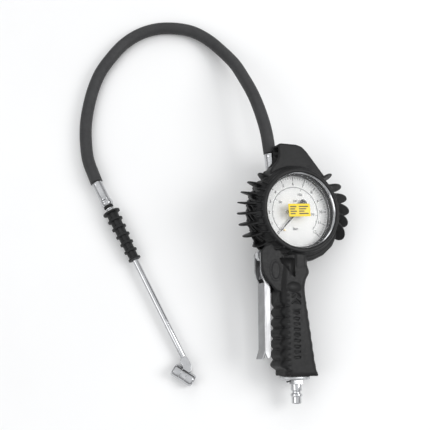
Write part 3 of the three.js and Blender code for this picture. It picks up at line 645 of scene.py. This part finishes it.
def lettering(text, size, x, z):
    """Flat printed text in the x-z plane, facing the front."""
    curve = bpy.data.curves.new("text", "FONT")
    curve.body = text
    curve.size = size * MM
    curve.align_x = "CENTER"
    curve.align_y = "CENTER"
    curve.resolution_u = 3
    curve.offset = 0.02 * size * MM
    curve.extrude = PRINT_THICK / 2 * MM
    obj = link("text", curve)
    mesh = evaluated_mesh(obj)
    middle = PRINT_TOP + PRINT_THICK / 2
    points = [(v.co.x / MM + x, middle - v.co.z / MM, v.co.y / MM + z) for v in mesh.vertices]
    shape = Shape(points, [tuple(p.vertices) for p in mesh.polygons])
    bpy.data.objects.remove(obj)
    bpy.data.curves.remove(curve)
    bpy.data.meshes.remove(mesh)
    return shape


BAR_ZERO = math.radians(225) + DIAL_TURN
BAR_STEP = math.radians(22.5)
BAR_FULL = 12
BAR_IN_PSI = 14.504


def numbers(values, unit, size, radius):
    """Upright numbers on a ring of the dial; unit says how many of them make one bar."""
    marks = Shape()
    for value in values:
        angle = BAR_ZERO - BAR_STEP * value / unit
        marks.add(lettering(str(value), size, radius * math.cos(angle), radius * math.sin(angle)))
    return marks


def dial_print():
    marks = Shape()
    for tenth in range(BAR_FULL * 5 + 1):
        angle = BAR_ZERO - BAR_STEP * tenth / 5
        major = tenth % 5 == 0
        marks.add(strip(angle, 31.2 if major else 33.0, 35.2, 0.7 if major else 0.4))
    for psi in range(0, 175, 10):
        angle = BAR_ZERO - BAR_STEP * psi / BAR_IN_PSI
        marks.add(strip(angle, 22.4 if psi % 50 == 0 else 23.4, 25.0, 0.4))
    marks.add(arc_strip(25.0, 0.5, BAR_ZERO, BAR_ZERO - BAR_STEP * BAR_FULL))
    marks.add(numbers(range(BAR_FULL + 1), 1, 4.2, 28.4))
    marks.add(numbers((50, 100, 150), BAR_IN_PSI, 3.6, 18.6))
    marks.add(lettering("bar", 4.4, 0, -16.6))
    marks.add(lettering("psi", 3.4, 0, 11.6))
    piece("dial_marks", marks, BODY, INK, "root")

    stop = rod(0.7, DIAL_FRONT - 2.4, DIAL_FRONT - 0.02, 24, edge=0.2)
    piece("zero_pin", stop.at(-12.7, 0, -18.7), BODY, BRASS, "root", ["zero_stop_pin"])


STICKER_AT = (-0.6, 0.4)
STICKER_SIZE = (23.6, 12.6)
STICKER_TURN = math.radians(4.5)


def sticker():
    """Plain yellow sticker on the lens, with rows of bars in place of print."""
    low, high = LENS_FRONT - 0.5, LENS_FRONT - 0.02
    askew = BODY @ Matrix.Translation(Vector((STICKER_AT[0], 0, STICKER_AT[1])) * MM)
    askew = askew @ Matrix.Rotation(-STICKER_TURN, 4, "Y")
    across, up = STICKER_SIZE[0] / 2, STICKER_SIZE[1] / 2
    outline = rounded(corners(-across, -up, across, up), 0.8, 4)
    piece("lens_sticker", plate(outline, low, high, 0.1, 2), askew, YELLOW, "root",
          ["lens_label"])
    top = low - 0.04
    marks = Shape()
    for row in range(4):
        z = 3.5 - 2.3 * row
        for start, end in ((-10.0, -3.2 - 1.6 * (row % 2)), (-0.6, 9.6 - 2.2 * (row % 3))):
            marks.add(plate(corners(start, z - 0.6, end, z + 0.6), top, top + 0.05))
    piece("sticker_marks", marks, askew, LABEL_INK, "root")


def pointer():
    """Tapered pointer with a broad counterweight, lying at the dial's zero."""
    top = DIAL_FRONT - 3.6
    rest = Matrix.Rotation(math.pi / 2 - BAR_ZERO, 4, "Y")
    half = [(4.2, -13.0), (2.0, -6), (2.7, -1.6), (1.25, 4), (0.32, 27.4)]
    blade = [(-4.2, -13.0), (-2.4, -14.9), (0, -15.4), (2.4, -14.9), *half, (0, 28)]
    blade = rounded(blade + [(-x, z) for x, z in reversed(half[1:])], 0.7, 3)
    hub = lathe(rounded(corners(1.15, top - 0.8, 2.9, top + 0.8), 0.3), 48)
    whole = union(plate(blade, top, top + 0.6, 0.12, 2), hub)
    piece("pointer_blade", whole.moved(rest), BODY, POINTER_BLACK, "pointer", ["pointer"])


gauge()
dial_print()
sticker()
pointer()


# ---------------------------------------------------------------- rubber boot round the gauge
LIP_R = 37.0                          # opening of the front lip
WALL = [(-19.4, 41.2), (-17, 41.7), (-15.4, 41.8), (-12.4, 44.6), (-6, 45.3), (4, 44.9), (15, 43.8),
        (24, 42)]                     # depth and radius of the wall that carries the ribs
FINS = [                              # angle at the foot, angle and radius at the tip
    (50, 43, 61), (37, 28, 62.5), (24, 15.5, 63.4), (11.5, 3, 63.2), (-1, -9, 61.5), (-13, -23, 60.5),
    (131, 135, 53), (145, 150.5, 56.5), (159, 163, 58.8), (171, 174, 60), (183, 184.6, 60.3),
    (196, 195.2, 60.3), (210, 206.5, 60.3), (223, 220.5, 56),
]
FIN_FOOT_R = 41.5
FIN_THICK = (3.6, 1.7)
RIBS = [                              # angle behind, sweep to the front, radius of the rib
    (139, 7, 1.6), (147, 9, 1.6), (154, 11, 1.5), (160, 13, 1.7), (166, 17, 1.5), (172, 21, 1.7),
    (178, 25, 1.5), (184, 29, 1.8), (190.5, 37, 1.6), (197, 45, 1.9), (203.5, 50, 1.6),
]
BELLY_RIBS = [                        # first and last angle, radius, depth at each end, thickness
    ((204, 279), (46.2, 45.6), (8, -12.4), 1.9), ((209, 281), (49, 47.6), (6, -9.6), 1.9),
    ((216, 279), (51.6, 49.6), (4, -6), 1.9),
]
BELLY = [(-126, 46), (-112, 48), (-100, 48.6), (-90, 49), (-80, 49.8), (-70, 50.4), (-55, 50.8),
         (-40, 50.8), (-28, 49.4), (-18, 45)]                       # angle and radius of the swell


def fin(foot_angle, tip_angle, tip, stations=22):
    """Paddle fin on a slow twist round the boot, leaning from its foot to its tip."""
    foot, edge = FIN_THICK[0] / 2, FIN_THICK[1] / 2
    sections = []
    for i in range(stations + 1):
        reach = math.sin(math.pi / 2 * (2 * i / stations - 1))
        y = FIN_HALF * reach
        crest = FIN_FOOT_R + 1.6 + (tip - FIN_FOOT_R - 1.6) * math.sqrt(max(0.0, 1 - reach * reach)) ** 0.85
        half = [(FIN_FOOT_R, foot + 0.6), (FIN_FOOT_R + 3, foot),
                ((FIN_FOOT_R + crest) / 2, (foot + edge) / 2), (crest - edge, edge),
                (crest - 0.3 * edge, 0.7 * edge)]
        ring = [(r, -side) for r, side in half] + [(crest, 0)] + [(r, side) for r, side in reversed(half)]
        section = []
        for r, side in ring:
            share = (r - FIN_FOOT_R) / (tip - FIN_FOOT_R)
            twist = FIN_TWIST[1] if foot_angle > 90 else FIN_TWIST[0]
            turn = math.radians(foot_angle + (tip_angle - foot_angle) * share - twist * y)
            section.append(tuple(polar(r, turn, y) + side * Vector((-math.sin(turn), 0, math.cos(turn)))))
        sections.append(section)
    return loft(sections)


def swept_rib(first, sweep, thick):
    """Rib on the boot's wall that starts behind a fin's foot and curls down as it comes forward."""
    path = []
    for i in range(41):
        t = i / 40
        y = 13 - 31.6 * t
        turn = math.radians(first + sweep * (3 * t ** 2 - 2 * t ** 3))
        path.append(polar(np.interp(y, *zip(*WALL)) + 0.7, turn, y))
    return tube(path, lambda t: thick * (0.5 + 0.5 * math.sin(math.pi * min(1, 0.15 + t)) ** 0.5), 12,
                Vector((0, 1, 0)))


def belly_rib(angles, radii, depths, thick):
    """Long rib of the swell under the gauge."""
    path = []
    for i in range(61):
        t = i / 60
        mix = 3 * t ** 2 - 2 * t ** 3
        turn = math.radians(angles[0] + (angles[1] - angles[0]) * t)
        depth = depths[0] + (depths[1] - depths[0]) * mix
        path.append(polar(radii[0] + (radii[1] - radii[0]) * t, turn, depth))
    return tube(path, lambda t: thick * (0.25 + 0.75 * math.sin(math.pi * t) ** 0.35), 14, Vector((0, 1, 0)))


def belly():
    sections = []
    for angle, r in BELLY:
        ring = rounded([(40.5, -11), (r - 1.5, -10), (r, -6), (r, 5), (r - 1.5, 9), (40.5, 10)], 1.2, 3)
        sections.append([tuple(polar(radius, math.radians(angle), y)) for radius, y in ring])
    return loft(sections)


def head_shapes():
    """Solid outside of the gauge boot, and the cutters for its rooms."""
    shell = lathe(rounded([
        (0, BOOT_BACK), (34.6, BOOT_BACK), (39.4, BOOT_BACK - 1.8), (42.6, BOOT_BACK - 5.4), (43.8, 15),
        (44.9, 4), (45.3, -6), (44.7, -12), (41.8, -15.4), (41.8, -16.6), (41.6, -18.4), (40.6, BOOT_FRONT),
        (0, BOOT_FRONT),
    ], [0, 3, 3, 3, 6, 8, 6, 2, 0.6, 0.6, 0.8, 0.5, 0], 4, False), 144)
    hood = plate(rounded([(-28, 28), (-28, 40), (-24.5, 45), (-20, 50.5), (-18.6, 57), (-19.4, 65.5),
                          (-17.2, 68), (1, 68.2), (7, 66.5), (12.2, 62), (32.5, 38), (32.5, 28)],
                         [1, 5, 6, 5, 8, 2, 2.5, 10, 6, 8, 6, 1], 5), -8.6, 6, 1.5, 4)
    collar = lathe(rounded(corners(0, 30, 9.2, 43.4), 1.2, 4, False), 64, "Z").at(*PORT, 0)
    apron = plate(rounded([(-12, -34), (-28, -32), (-37, -36.5), (-40.5, -41), (-40.5, -52), (-12, -52)],
                          [0, 4, 4, 3, 0, 0], 4), -11.4, -8.9, 0.8, 2)
    column = []
    for z, lift in ((-62, 1.6), (-54, 0.6), (-46, 0), (-39, 0), (-34, 3)):
        outline = rounded([(-6, -14.4 + lift), (6.4, -14 + lift), (6.4, 10), (-6, 10)], 3, 4)
        column.append([(x, y, z) for x, y in outline])
    throat = [[(x, y, z) for x, y in rounded(corners(-14, -9, 11, 18), 4, 4)] for z in (-56, -36)]
    tunnel = plate(rounded([(-40, 43.8), (-40, 65), (2, 65), (8, 61.4), (12.6, 55.8), (45, 55.8),
                            (45, 43.8)], [1, 1, 3, 4, 4, 1, 1], 4), -6.9, 4.4, 3, 5)
    port_room = rod(6.9, PORT_TOP - 1, 60, 64, "Z").at(*PORT, 0)
    case_room = rod(39.4, BEZEL_FRONT, CASE_BACK + 0.3, 144)
    bezel_room = rod(40.3, BEZEL_FRONT - 0.3, BEZEL_REAR + 0.6, 144)
    window = lathe([(0, -30), (39.4, -30), (39, -19.5), (37.7, -19.1), (LIP_R, -18.5), (LIP_R, -17),
                    (0, -17)], 144)
    pin_room = rod(3.3, -9.8, -8, 40).at(PIN_X, 0, PIN_Z)
    solids = [shell, belly(), hood, collar, apron, loft(column), loft(throat), *(fin(*row) for row in FINS),
              *(swept_rib(*row) for row in RIBS), *(belly_rib(*row) for row in BELLY_RIBS)]
    return solids, [case_room, bezel_room, window, tunnel, port_room, pin_room]


# ---------------------------------------------------------------- rubber grip
GRIP_RIGHT = [(-49.8, 9.4), (-59, 11.4), (-68, 7.2), (-76, 5.7), (-100, 8.5), (-130, 12.5), (-150, 15.5),
              (-158, 18)]
GRIP_LEFT = [(-49.8, -17), (-66, -18.5), (-85, -19), (-148, -20.5), (-158, -15)]
GRIP_DEPTH = [(-49.8, 13), (-66, 14), (-80, 15), (-158, 15.6)]
TOOTH_PITCH = 10.0
TOOTH_TOP = -88.0
TOOTH_DEPTH = 1.6


def along(table, z):
    """Monotone smooth reading of a table of [z, value]."""
    zs = [-row[0] for row in table]
    vs = [row[1] for row in table]
    count = len(zs)
    slopes = []
    for i in range(count):
        if i in (0, count - 1):
            slopes.append(0.0)
            continue
        before = (vs[i] - vs[i - 1]) / (zs[i] - zs[i - 1])
        after = (vs[i + 1] - vs[i]) / (zs[i + 1] - zs[i])
        slopes.append(0.0 if before * after <= 0 else 2 * before * after / (before + after))
    at = min(max(-z, zs[0]), zs[-1])
    i = next((k for k in range(count - 2, -1, -1) if zs[k] <= at), 0)
    span = zs[i + 1] - zs[i]
    t = (at - zs[i]) / span
    return ((2 * t ** 3 - 3 * t ** 2 + 1) * vs[i] + (t ** 3 - 2 * t ** 2 + t) * span * slopes[i]
            + (3 * t ** 2 - 2 * t ** 3) * vs[i + 1] + (t ** 3 - t ** 2) * span * slopes[i + 1])


def grip_section(z):
    """Rounded rectangle of the grip at one height, with its scallops and finger waves."""
    corner, arc = 6.0, 8
    tooth = 0.0
    if z < TOOTH_TOP:
        tooth = TOOTH_DEPTH * (1 - abs(math.cos(math.pi * (z - TOOTH_TOP) / TOOTH_PITCH)))
    left = along(GRIP_LEFT, z) + tooth * 2 - TOOTH_DEPTH
    right = along(GRIP_RIGHT, z)
    half = along(GRIP_DEPTH, z)
    if z < TOOTH_TOP:
        right += 0.25 * math.cos(2 * math.pi * (z - TOOTH_TOP) / TOOTH_PITCH)
    if z < -154:
        half -= 0.9 * ((-154 - z) / 4) ** 2
    ring = []
    centres = [(right - corner, half - corner), (left + corner, half - corner),
               (left + corner, corner - half), (right - corner, corner - half)]
    for quarter, (x, y) in enumerate(centres):
        for i in range(arc + 1):
            turn = math.pi / 2 * (quarter + i / arc)
            ring.append((x + corner * math.cos(turn), y + corner * math.sin(turn), z))
    return ring


def grip_marks():
    """Cutters for the generic marks sunk in the front face: two chevrons over a column of bars."""
    marks = []
    front = -along(GRIP_DEPTH, -88)
    for z in (-83.5, -89.5):
        chevron = [(-11.2, z), (-6, z + 4.4), (-0.8, z), (-0.8, z - 2), (-6, z + 2.2), (-11.2, z - 2)]
        marks.append(plate(rounded(chevron, 0.3, 2), front - 0.75, front + 1.0, 0.25, 2))
    for k in range(9):
        z = -99 - 5.2 * k
        bar = rounded(corners(-9.6, z - 1.0, -2.4, z + 1.0), 0.7, 3)
        front = -along(GRIP_DEPTH, z)
        marks.append(plate(bar, front - 0.7, front + 1.0, 0.25, 2))
    return marks


def cheek(x, low, high):
    """Flap of the grip beside the lever's pin."""
    outline = [(-12, -49.8), (x, -49.8), (x + 0.6, -58), (x + 2.4, -63), (-33, -70), (-24, -79), (-12, -79)]
    return plate(rounded(outline, [0, 2.4, 6, 6, 8, 6, 0], 5), low, high, 0.7)


def oval(across, up, sides):
    """Points of the oval on the front cheek."""
    return [(-25.6 + across * math.cos(t), -59 + up * math.sin(t)) for t in circle(sides)]


def corner_rib(z):
    """Short rib that runs from a scallop's edge onto the front face."""
    front = -along(GRIP_DEPTH, z)
    path = [(-17.6, front + 1.6, z), (-15.8, front + 0.3, z + 0.4), (-13.4, front, z + 1)]
    return tube([Vector(p) for p in path], 0.75, 10, Vector((0, 0, 1)))


def grip_shapes():
    """Solid outside of the grip, and the cutters for its hollows and marks."""
    steps = 216
    sleeve = loft([grip_section(GRIP_TOP + (GRIP_BOTTOM - GRIP_TOP) * i / steps) for i in range(steps + 1)])
    rim = oval(5.6, 9.8, 48)
    oval_rib = tube([Vector((x, -11.2, z)) for x, z in [*rim, rim[0]]], 0.55, 8, Vector((0, 1, 0)))
    corner_ribs = [corner_rib(TOOTH_TOP + 10 - TOOTH_PITCH / 2 * k) for k in range(18)]
    pocket = plate(rounded([(-22, -47), (-6, -47), (-6, -58), (-6, -66), (-11, -61)], [1, 1, 3, 1.2, 4], 4),
                   -20, -9.2)
    turns = [math.pi * k / 24 for k in range(25)]
    ball = lathe([(math.sin(t), -math.cos(t)) for t in turns], 48)
    saddle = ball.moved(Matrix.Translation((-8, -21.9, -74)) @ Matrix.Diagonal((14, 9, 9, 1)))
    lever_room = plate(corners(-46, -90, -20.4, -40), -7.9, 7.9)
    oval_pad = plate(oval(4.5, 8.5, 40), -11.9, -10, 0.9)
    solids = [sleeve, cheek(-40, -11.4, -8.2), cheek(-37, 8.2, 10.8), oval_pad, oval_rib, *corner_ribs]
    return solids, [pocket, saddle, lever_room, *grip_marks()]


def rubber_skin():
    """Gauge boot and grip as one skin, the way the rubber is moulded."""
    grip, grip_rooms = grip_shapes()
    head, head_rooms = head_shapes()
    obj = fused("rubber_skin", union(*grip, *head), BODY, 0.5, 3, 0.5, [*grip_rooms, *head_rooms])
    obj.data.transform(obj.matrix_world)
    obj.matrix_world = Matrix.Identity(4)
    return finish_piece(obj, RUBBER, "root", ["head_boot", "hang_hood", "grip_boot"])


rubber_skin()


# ---------------------------------------------------------------- lever, pin, clip and spring
LEVER_HALF = 7.3
LEVER_WALL = 1.4
LEVER_END = -142.5
PIN_R = 2.0


def lever():
    side = rounded([
        (-36, LEVER_END + 6), (-33.5, LEVER_END + 1), (-31, LEVER_END), (-29.6, LEVER_END + 3),
        (-29.4, -130), (-29.4, -76), (-30.4, -69), (-31, -52), (-32.4, -41.4), (-34.4, -40), (-37.6, -40),
        (-39.6, -42), (-39.6, -60), (-38, -66), (-36, -70),
    ], [2, 2, 1.5, 2, 8, 8, 6, 8, 2.5, 2, 2, 3, 6, 4, 3], 4)
    walls = [plate(side, -LEVER_HALF, LEVER_WALL - LEVER_HALF, 0.35, 2),
             plate(side, LEVER_HALF - LEVER_WALL, LEVER_HALF, 0.35, 2)]
    web = plate(rounded([(-36, -70.6), (-34.6, -70.6), (-34.6, LEVER_END + 10), (-37.4, LEVER_END),
                         (-38.8, LEVER_END), (-36, LEVER_END + 9)], [0.4, 0.4, 5, 0.5, 0.5, 5], 4),
                0.2 - LEVER_HALF, LEVER_HALF - 0.2)
    pad = plate(rounded([(-33.2, -53), (-31.8, -53), (-31.8, -62.5), (-33.6, -66.6), (-35, -66.6),
                         (-33.2, -62)], [0.4, 0.4, 2, 0.4, 0.4, 2], 3), 0.2 - LEVER_HALF, LEVER_HALF - 0.2)
    hole = rod(PIN_R + 0.3, -10, 10, 48).at(PIN_X, 0, PIN_Z)
    obj = fused("lever_plate", union(*walls, web, pad), BODY, 0.3, 2, 0.5, [hole])
    return finish_piece(obj, LEVER_METAL, "lever", ["lever"])


def lever_fixings():
    at_pin = (PIN_X, 0, PIN_Z)
    pin = lathe(rounded([(0, -9.4), (2.2, -9.4), (2.9, -8.9), (2.9, -8.2), (PIN_R, -8.2), (PIN_R, 9.2),
                         (0, 9.2)], [0, 0.4, 0.3, 0.2, 0.1, 0.4, 0], 3, False), 48)
    piece("pivot_pin", pin.at(*at_pin), BODY, STEEL, "root", ["lever_pin"])

    ring = [math.radians(28 + 304 * i / 60) for i in range(61)]
    inner = [(1.75 * math.cos(t), 1.75 * math.sin(t)) for t in ring]
    outer = []
    for i, t in reversed(list(enumerate(ring))):
        r = 3.5 if 8 < i < 52 else 3.1
        outer.append((r * math.cos(t), r * math.sin(t)))
    clip = plate(outer + inner, 7.7, 8.5, 0.12, 2)
    piece("e_clip", clip.at(*at_pin), BODY, STEEL, "root", ["pin_clip"])

    coil = tube(helix(2.85, 3.65, 5.45, 2.2, 40), 0.42, 12, Vector((0, 1, 0)))
    piece("return_spring", coil.at(*at_pin), BODY, STEEL, "root", ["lever_spring"], 60)


def valve():
    at_valve = Matrix.Translation((0, 0, VALVE_Z))
    plunger = lathe(rounded([(0, -31.2), (1.0, -31.1), (1.8, -29.6), (1.8, -10), (4, -10), (4, -8), (0, -8)],
                            [0, 0.4, 0.5, 0.1, 0.3, 0.3, 0], 4, False), 48, "X")
    piece("plunger_rod", plunger.moved(at_valve), BODY, STEEL, "plunger", ["valve_plunger"])
    coil = tube(helix(3.2, -5.0, -0.4, 4, 32), 0.4, 10, Vector((0, 1, 0)))
    turned = coil.moved(at_valve @ Matrix.Rotation(-math.pi / 2, 4, "Z"))
    piece("valve_coil", turned, BODY, STEEL, "root", ["valve_spring"], 60)


lever()
lever_fixings()
valve()


# ---------------------------------------------------------------- base plate and inlet nipple
def base():
    low = FLANGE_TOP - FLANGE_THICK
    sections = []
    for z, inset in ((FLANGE_TOP, 0.4), (FLANGE_TOP - 0.3, 0.1), (FLANGE_TOP - 0.5, 0), (low + 0.9, 0),
                     (low + 0.4, 0.25), (low, 0.9)):
        sections.append([(-1.5 + (15 - inset) * math.cos(t), (12.4 - inset) * math.sin(t), z)
                         for t in circle(96)])
    piece("base_plate", loft(sections), BODY, CAST, "root", ["base_flange"],
          cutters=[rod(6.2, -170, -150, 64, "Z")])

    under = low - 0.3
    thread = []
    for i in range(12):
        z = -156.2 - 0.46 * i
        thread += [(5.6, z), (5.25, z - 0.23)]
    plug = [(5.2, 12.4), (4.1, 11.6), (4.1, 9.8), (5.5, 9), (5.5, 7), (4.6, 6.4), (4.6, 0.8), (4.1, 0),
            (2.6, 0)]
    profile = [(2.6, -156), (5.3, -156), *thread, (5.3, under), (5.0, under), (5.0, under - 3.9),
               (5.2, under - 4.1), *((r, NIPPLE_END + z) for r, z in plug)]
    nut = hexagon(7.4, 0.5, ((under, 0.93), (under - 0.35, 1), (under - 3.65, 1), (under - 4, 0.93)))
    piece("nipple_hex", nut, BODY, CHROME, "root", angle=25,
          cutters=[rod(5.0, -175, -150, 64, "Z", 0.01)])
    piece("nipple_body", lathe(rounded(profile, 0.35, 3), 96, "Z"), BODY, CHROME, "root",
          ["inlet_nipple"])


base()


# ---------------------------------------------------------------- hose end at the body
HOSE_END = (BODY @ Matrix.Translation(Vector((PORT[0], PORT[1], PORT_TOP)) * MM)
            @ Matrix.Rotation(-FERRULE_LEAN, 4, "Y"))


def crimped(radius, low, high, bore):
    """Crimped sleeve: a bore, rounded rims and shallow flats pressed round its middle."""
    crimps, depth, sides, rows = 8, 0.16, 96, 60
    sections = []
    for i in range(rows + 1):
        h = low + (high - low) * i / rows
        rim = min(h - low, high - h)
        edge = radius - 0.45 * max(0.0, 1 - rim / 0.5) ** 2
        press = max(0.0, min(1.0, (rim - 2.2) / 1.2))
        ring = []
        for t in circle(sides):
            r = edge - depth * press * (0.35 + 0.65 * abs(math.cos(crimps * t / 2)) ** 6)
            ring.append((r * math.cos(t), r * math.sin(t), h))
        sections.append(ring)
    for h in (high, low):
        sections.append([(bore * math.cos(t), bore * math.sin(t), h) for t in circle(sides)])
    sections.append(sections[0])
    return loft(sections, False)


def body_end():
    nut = hexagon(6.4, 0.4, ((1.1, 0.93), (1.4, 1), (2.5, 1), (2.8, 0.93)))
    fitting = piece("port_nut", nut, HOSE_END, BRASS, "root", ["hose_port_fitting"], 25,
                    [rod(2, 0, 4, 32, "Z")])
    sleeve = crimped(FERRULE_R, FERRULE_FOOT, FERRULE_FOOT + FERRULE_LEN, 2.6)
    ferrule = piece("body_sleeve", sleeve, HOSE_END, CHROME, "root", ["body_ferrule"], 50)
    return fitting, ferrule


body_end_pieces = body_end()


# ---------------------------------------------------------------- lance
def swivel():
    sleeve = crimped(5.4, 0, LANCE_FERRULE, 2.6).moved(Matrix.Rotation(-math.pi / 2, 4, "X"))
    ferrule = piece("lance_sleeve", sleeve, LANCE, CHROME, "root", ["lance_ferrule"], 50)
    nut = rounded([(2.6, 21.7), (5.6, 21.7), (6.2, 22.4), (6.2, 23.6), (5.8, 24.0), (6.2, 24.4), (6.2, 26),
                   (5, 28), (2.6, 28)], [0, 0.3, 0.3, 0.3, 0.2, 0.3, 0.6, 0.4, 0], 4)
    collar = piece("swivel_collar", lathe(nut, 96), LANCE, CHROME, "root", ["swivel_nut"])
    seal = rounded(corners(2.6, 28.3, 5, 30.3), 0.6, 4)
    ring = piece("swivel_ring", lathe(seal, 96), LANCE, SEAL, "root", ["swivel_seal"])
    stub = rounded([(2, 30.6), (3.6, 30.6), (4, 31), (4, 32.2), (3.5, 32.6), (4, 33), (4, 34.9), (2, 34.9)],
                   [0, 0.2, 0.2, 0.3, 0.3, 0.3, 0.3, 0], 4)
    piece("lance_stub", lathe(stub, 96), LANCE, CHROME, "lance", ["lance_nipple"])
    return ferrule, collar, ring


def lance_grip():
    """Moulded sleeve: seven collars on a tapering core with flutes between them."""
    low, high = LANCE_GRIP
    count = 7
    pitch = (high - low - 2) / (count - 1)
    sides = 120
    flutes = 6
    rows = 320
    sections = []
    for i in range(rows + 1):
        y = low + (high - low) * i / rows
        nearest = min(range(count), key=lambda k: abs(y - (low + pitch * k + 1)))
        off = abs(y - (low + pitch * nearest + 1))
        big = 9.0 if nearest == 0 else 8.3 - 1.9 * nearest / (count - 1)
        taper = (y - low) / pitch
        core = 6.2 - 0.22 * taper
        blend = max(0.0, min(1.0, (1.45 - off) / 0.7))
        blend = blend * blend * (3 - 2 * blend)
        between = max(0.0, min(1.0, (off - 1.4) / 0.6))
        ring = []
        for t in circle(sides):
            flute = max(0.0, math.cos(flutes * t)) ** 0.6
            body = core - 1.15 * flute * between
            ring.append(polar(body + (big - body) * blend, t, y))
        sections.append(ring)
    for y in (high, low):
        sections.append([polar(TUBE_R + 0.3, t, y) for t in circle(sides)])
    sections.append(sections[0])
    piece("lance_sleeve_grip", loft(sections, False), LANCE, GRIP_RUBBER, "lance",
          ["lance_grip"])


def chuck():
    turn = Matrix.Translation((*BARREL_AT, 0)) @ Matrix.Rotation(BARREL_TURN, 4, "Z")
    half = BARREL_LEN / 2
    mouth = half - MOUTH_DEPTH
    barrel = rounded([
        (1.4, -mouth), (MOUTH_R, -mouth), (MOUTH_R, -half), (5.3, -half), (BARREL_R, 1.6 - half),
        (BARREL_R, -3.1), (5.85, -2.7), (5.85, 2.7), (BARREL_R, 3.1),
        (BARREL_R, half - 1.6), (5.3, half), (MOUTH_R, half), (MOUTH_R, mouth), (1.4, mouth),
    ], [0, 0.3, 0.35, 0.4, 0.5, 0.3, 0.2, 0.2, 0.3, 0.5, 0.4, 0.35, 0.3, 0], 4)
    flats = []
    for side in (1, -1):
        for end in (1, -1):
            y = end * (half - 4.0)
            flat = plate(corners(side * 5.55, -5, side * 9, 5), y - 2.1, y + 2.1)
            flats.append(flat.moved(turn @ Matrix.Rotation(math.pi / 2, 4, "Y")))
    piece("barrel", lathe(barrel, 120).moved(turn), LANCE, CHROME, "lance", ["chuck_barrel"], 30,
          flats)

    outline = rounded([(5.1, 203.4), (2.8, 201.2), (-2.6, 201.2), (-3.4, 204), (-3.4, 212), (-0.4, 217.4),
                       (4, 216), (6, 211), (4.2, 209.8)], [1.5, 1.2, 1.2, 2, 3, 1.5, 0.5, 0.3, 2], 4)
    block = plate(outline, -3.8, 3.8, 0.45, 3)
    upright = Matrix(((1, 0, 0, 0), (0, 0, 1, 0), (0, -1, 0, 0), (0, 0, 0, 1)))
    piece("gusset", block.moved(upright), LANCE, CHROME, "lance", ["chuck_block"], 40,
          [rod(BARREL_R + 0.02, -20, 20, 96).moved(turn)])

    for name, sign in (("front", 1), ("rear", -1)):
        flip = turn if sign > 0 else turn @ Matrix.Rotation(math.pi, 4, "Z")
        lip = rounded([(2, mouth + 0.3), (MOUTH_R - 0.3, mouth + 0.3), (MOUTH_R - 0.3, mouth + 2.6),
                       (2.6, mouth + 2.6), (2, mouth + 1.9)], 0.3, 3)
        piece(f"mouth_seal_{name}", lathe(lip, 72).moved(flip), LANCE, SEAL, "lance",
              [f"chuck_seal_{name}"])
        pin = lathe(rounded([(0, mouth - 1), (1, mouth - 1), (1, mouth + 3.2), (0.6, mouth + 3.6),
                             (0, mouth + 3.6)], [0, 0.2, 0.3, 0.2, 0], 3, False), 32)
        piece(f"press_pin_{name}", pin.moved(flip), LANCE, BRASS, f"chuck_pin_{name}",
              [f"chuck_pin_{name}"])


def lance():
    ring = rounded(corners(1.8, LANCE_GRIP[0] + 0.3, TUBE_R, TUBE_END), 0.2, 2)
    piece("lance_pipe", lathe(ring, 72), LANCE, CHROME, "lance", ["lance_tube"])
    lance_grip()
    chuck()


swivel_pieces = swivel()
lance()


# ---------------------------------------------------------------- finish of the CAD pieces that stay
KEPT = {
    "body_casting": CAST, "movement_frame": BRASS, "bourdon_tube": BRASS, "gauge_socket": BRASS,
    "sector_gear": BRASS, "pointer_arbor": BRASS, "valve_plug": BRASS, "bourdon_link": STEEL,
    "nipple_seal": SEAL, "plunger_seal": SEAL, "valve_seat": SEAL,
}
for node, look in KEPT.items():
    for material_slot in bpy.data.objects[node].material_slots:
        material_slot.material = look


# ---------------------------------------------------------------- floor and light
SKY = (0.3, 0.95)                  # strength at the horizon and overhead
SOFTBOXES = [                      # name, place, size in metres, watts
    ("key", (1.0, 0.05, 0.85), 0.6, 7), ("fill", (-0.8, -0.3, 0.8), 0.7, 2.5),
    ("back", (-0.1, 1.0, 0.7), 0.7, 2),
]


def stage():
    """Pale floor under a sky that is bright overhead and dim at the horizon, with three soft lights."""
    piece_of_floor()
    world = bpy.data.worlds.new("studio")
    world.use_nodes = True
    tree = world.node_tree
    place = tree.nodes.new("ShaderNodeTexCoord")
    parts = tree.nodes.new("ShaderNodeSeparateXYZ")
    ramp = tree.nodes.new("ShaderNodeMapRange")
    for socket, value in zip(ramp.inputs[1:5], (0.1, 0.95, *SKY)):
        socket.default_value = value
    background = tree.nodes["Background"]
    background.inputs["Color"].default_value = (0.98, 0.99, 1.0, 1)
    tree.links.new(place.outputs["Generated"], parts.inputs[0])
    tree.links.new(parts.outputs["Z"], ramp.inputs["Value"])
    tree.links.new(ramp.outputs[0], background.inputs["Strength"])
    bpy.context.scene.world = world
    bpy.context.scene.view_settings.view_transform = "Standard"
    for row in SOFTBOXES:
        softbox(*row)


def softbox(name, place, size, power):
    data = bpy.data.lights.new(name, "AREA")
    data.shape = "SQUARE"
    data.size = size
    data.energy = power
    obj = bpy.data.objects.new(name, data)
    obj.location = place
    obj.rotation_euler = (Vector((0, 0.05, 0)) - Vector(place)).to_track_quat("-Z", "Y").to_euler()
    bpy.context.scene.collection.objects.link(obj)


def piece_of_floor():
    reach = 4000.0
    square = Shape([(x, y, 0) for x, y in corners(-reach, -reach, reach, reach)], [(0, 1, 2, 3)])
    obj = link("floor", square.mesh("floor"))
    obj.data.materials.append(surface("pale floor", (0.86, 0.86, 0.86), (0.9, 0.9, 0.9), (0.6, 0.75),
                                      clouds=3, grain=400, grain_depth=0.00002))
    return obj


stage()
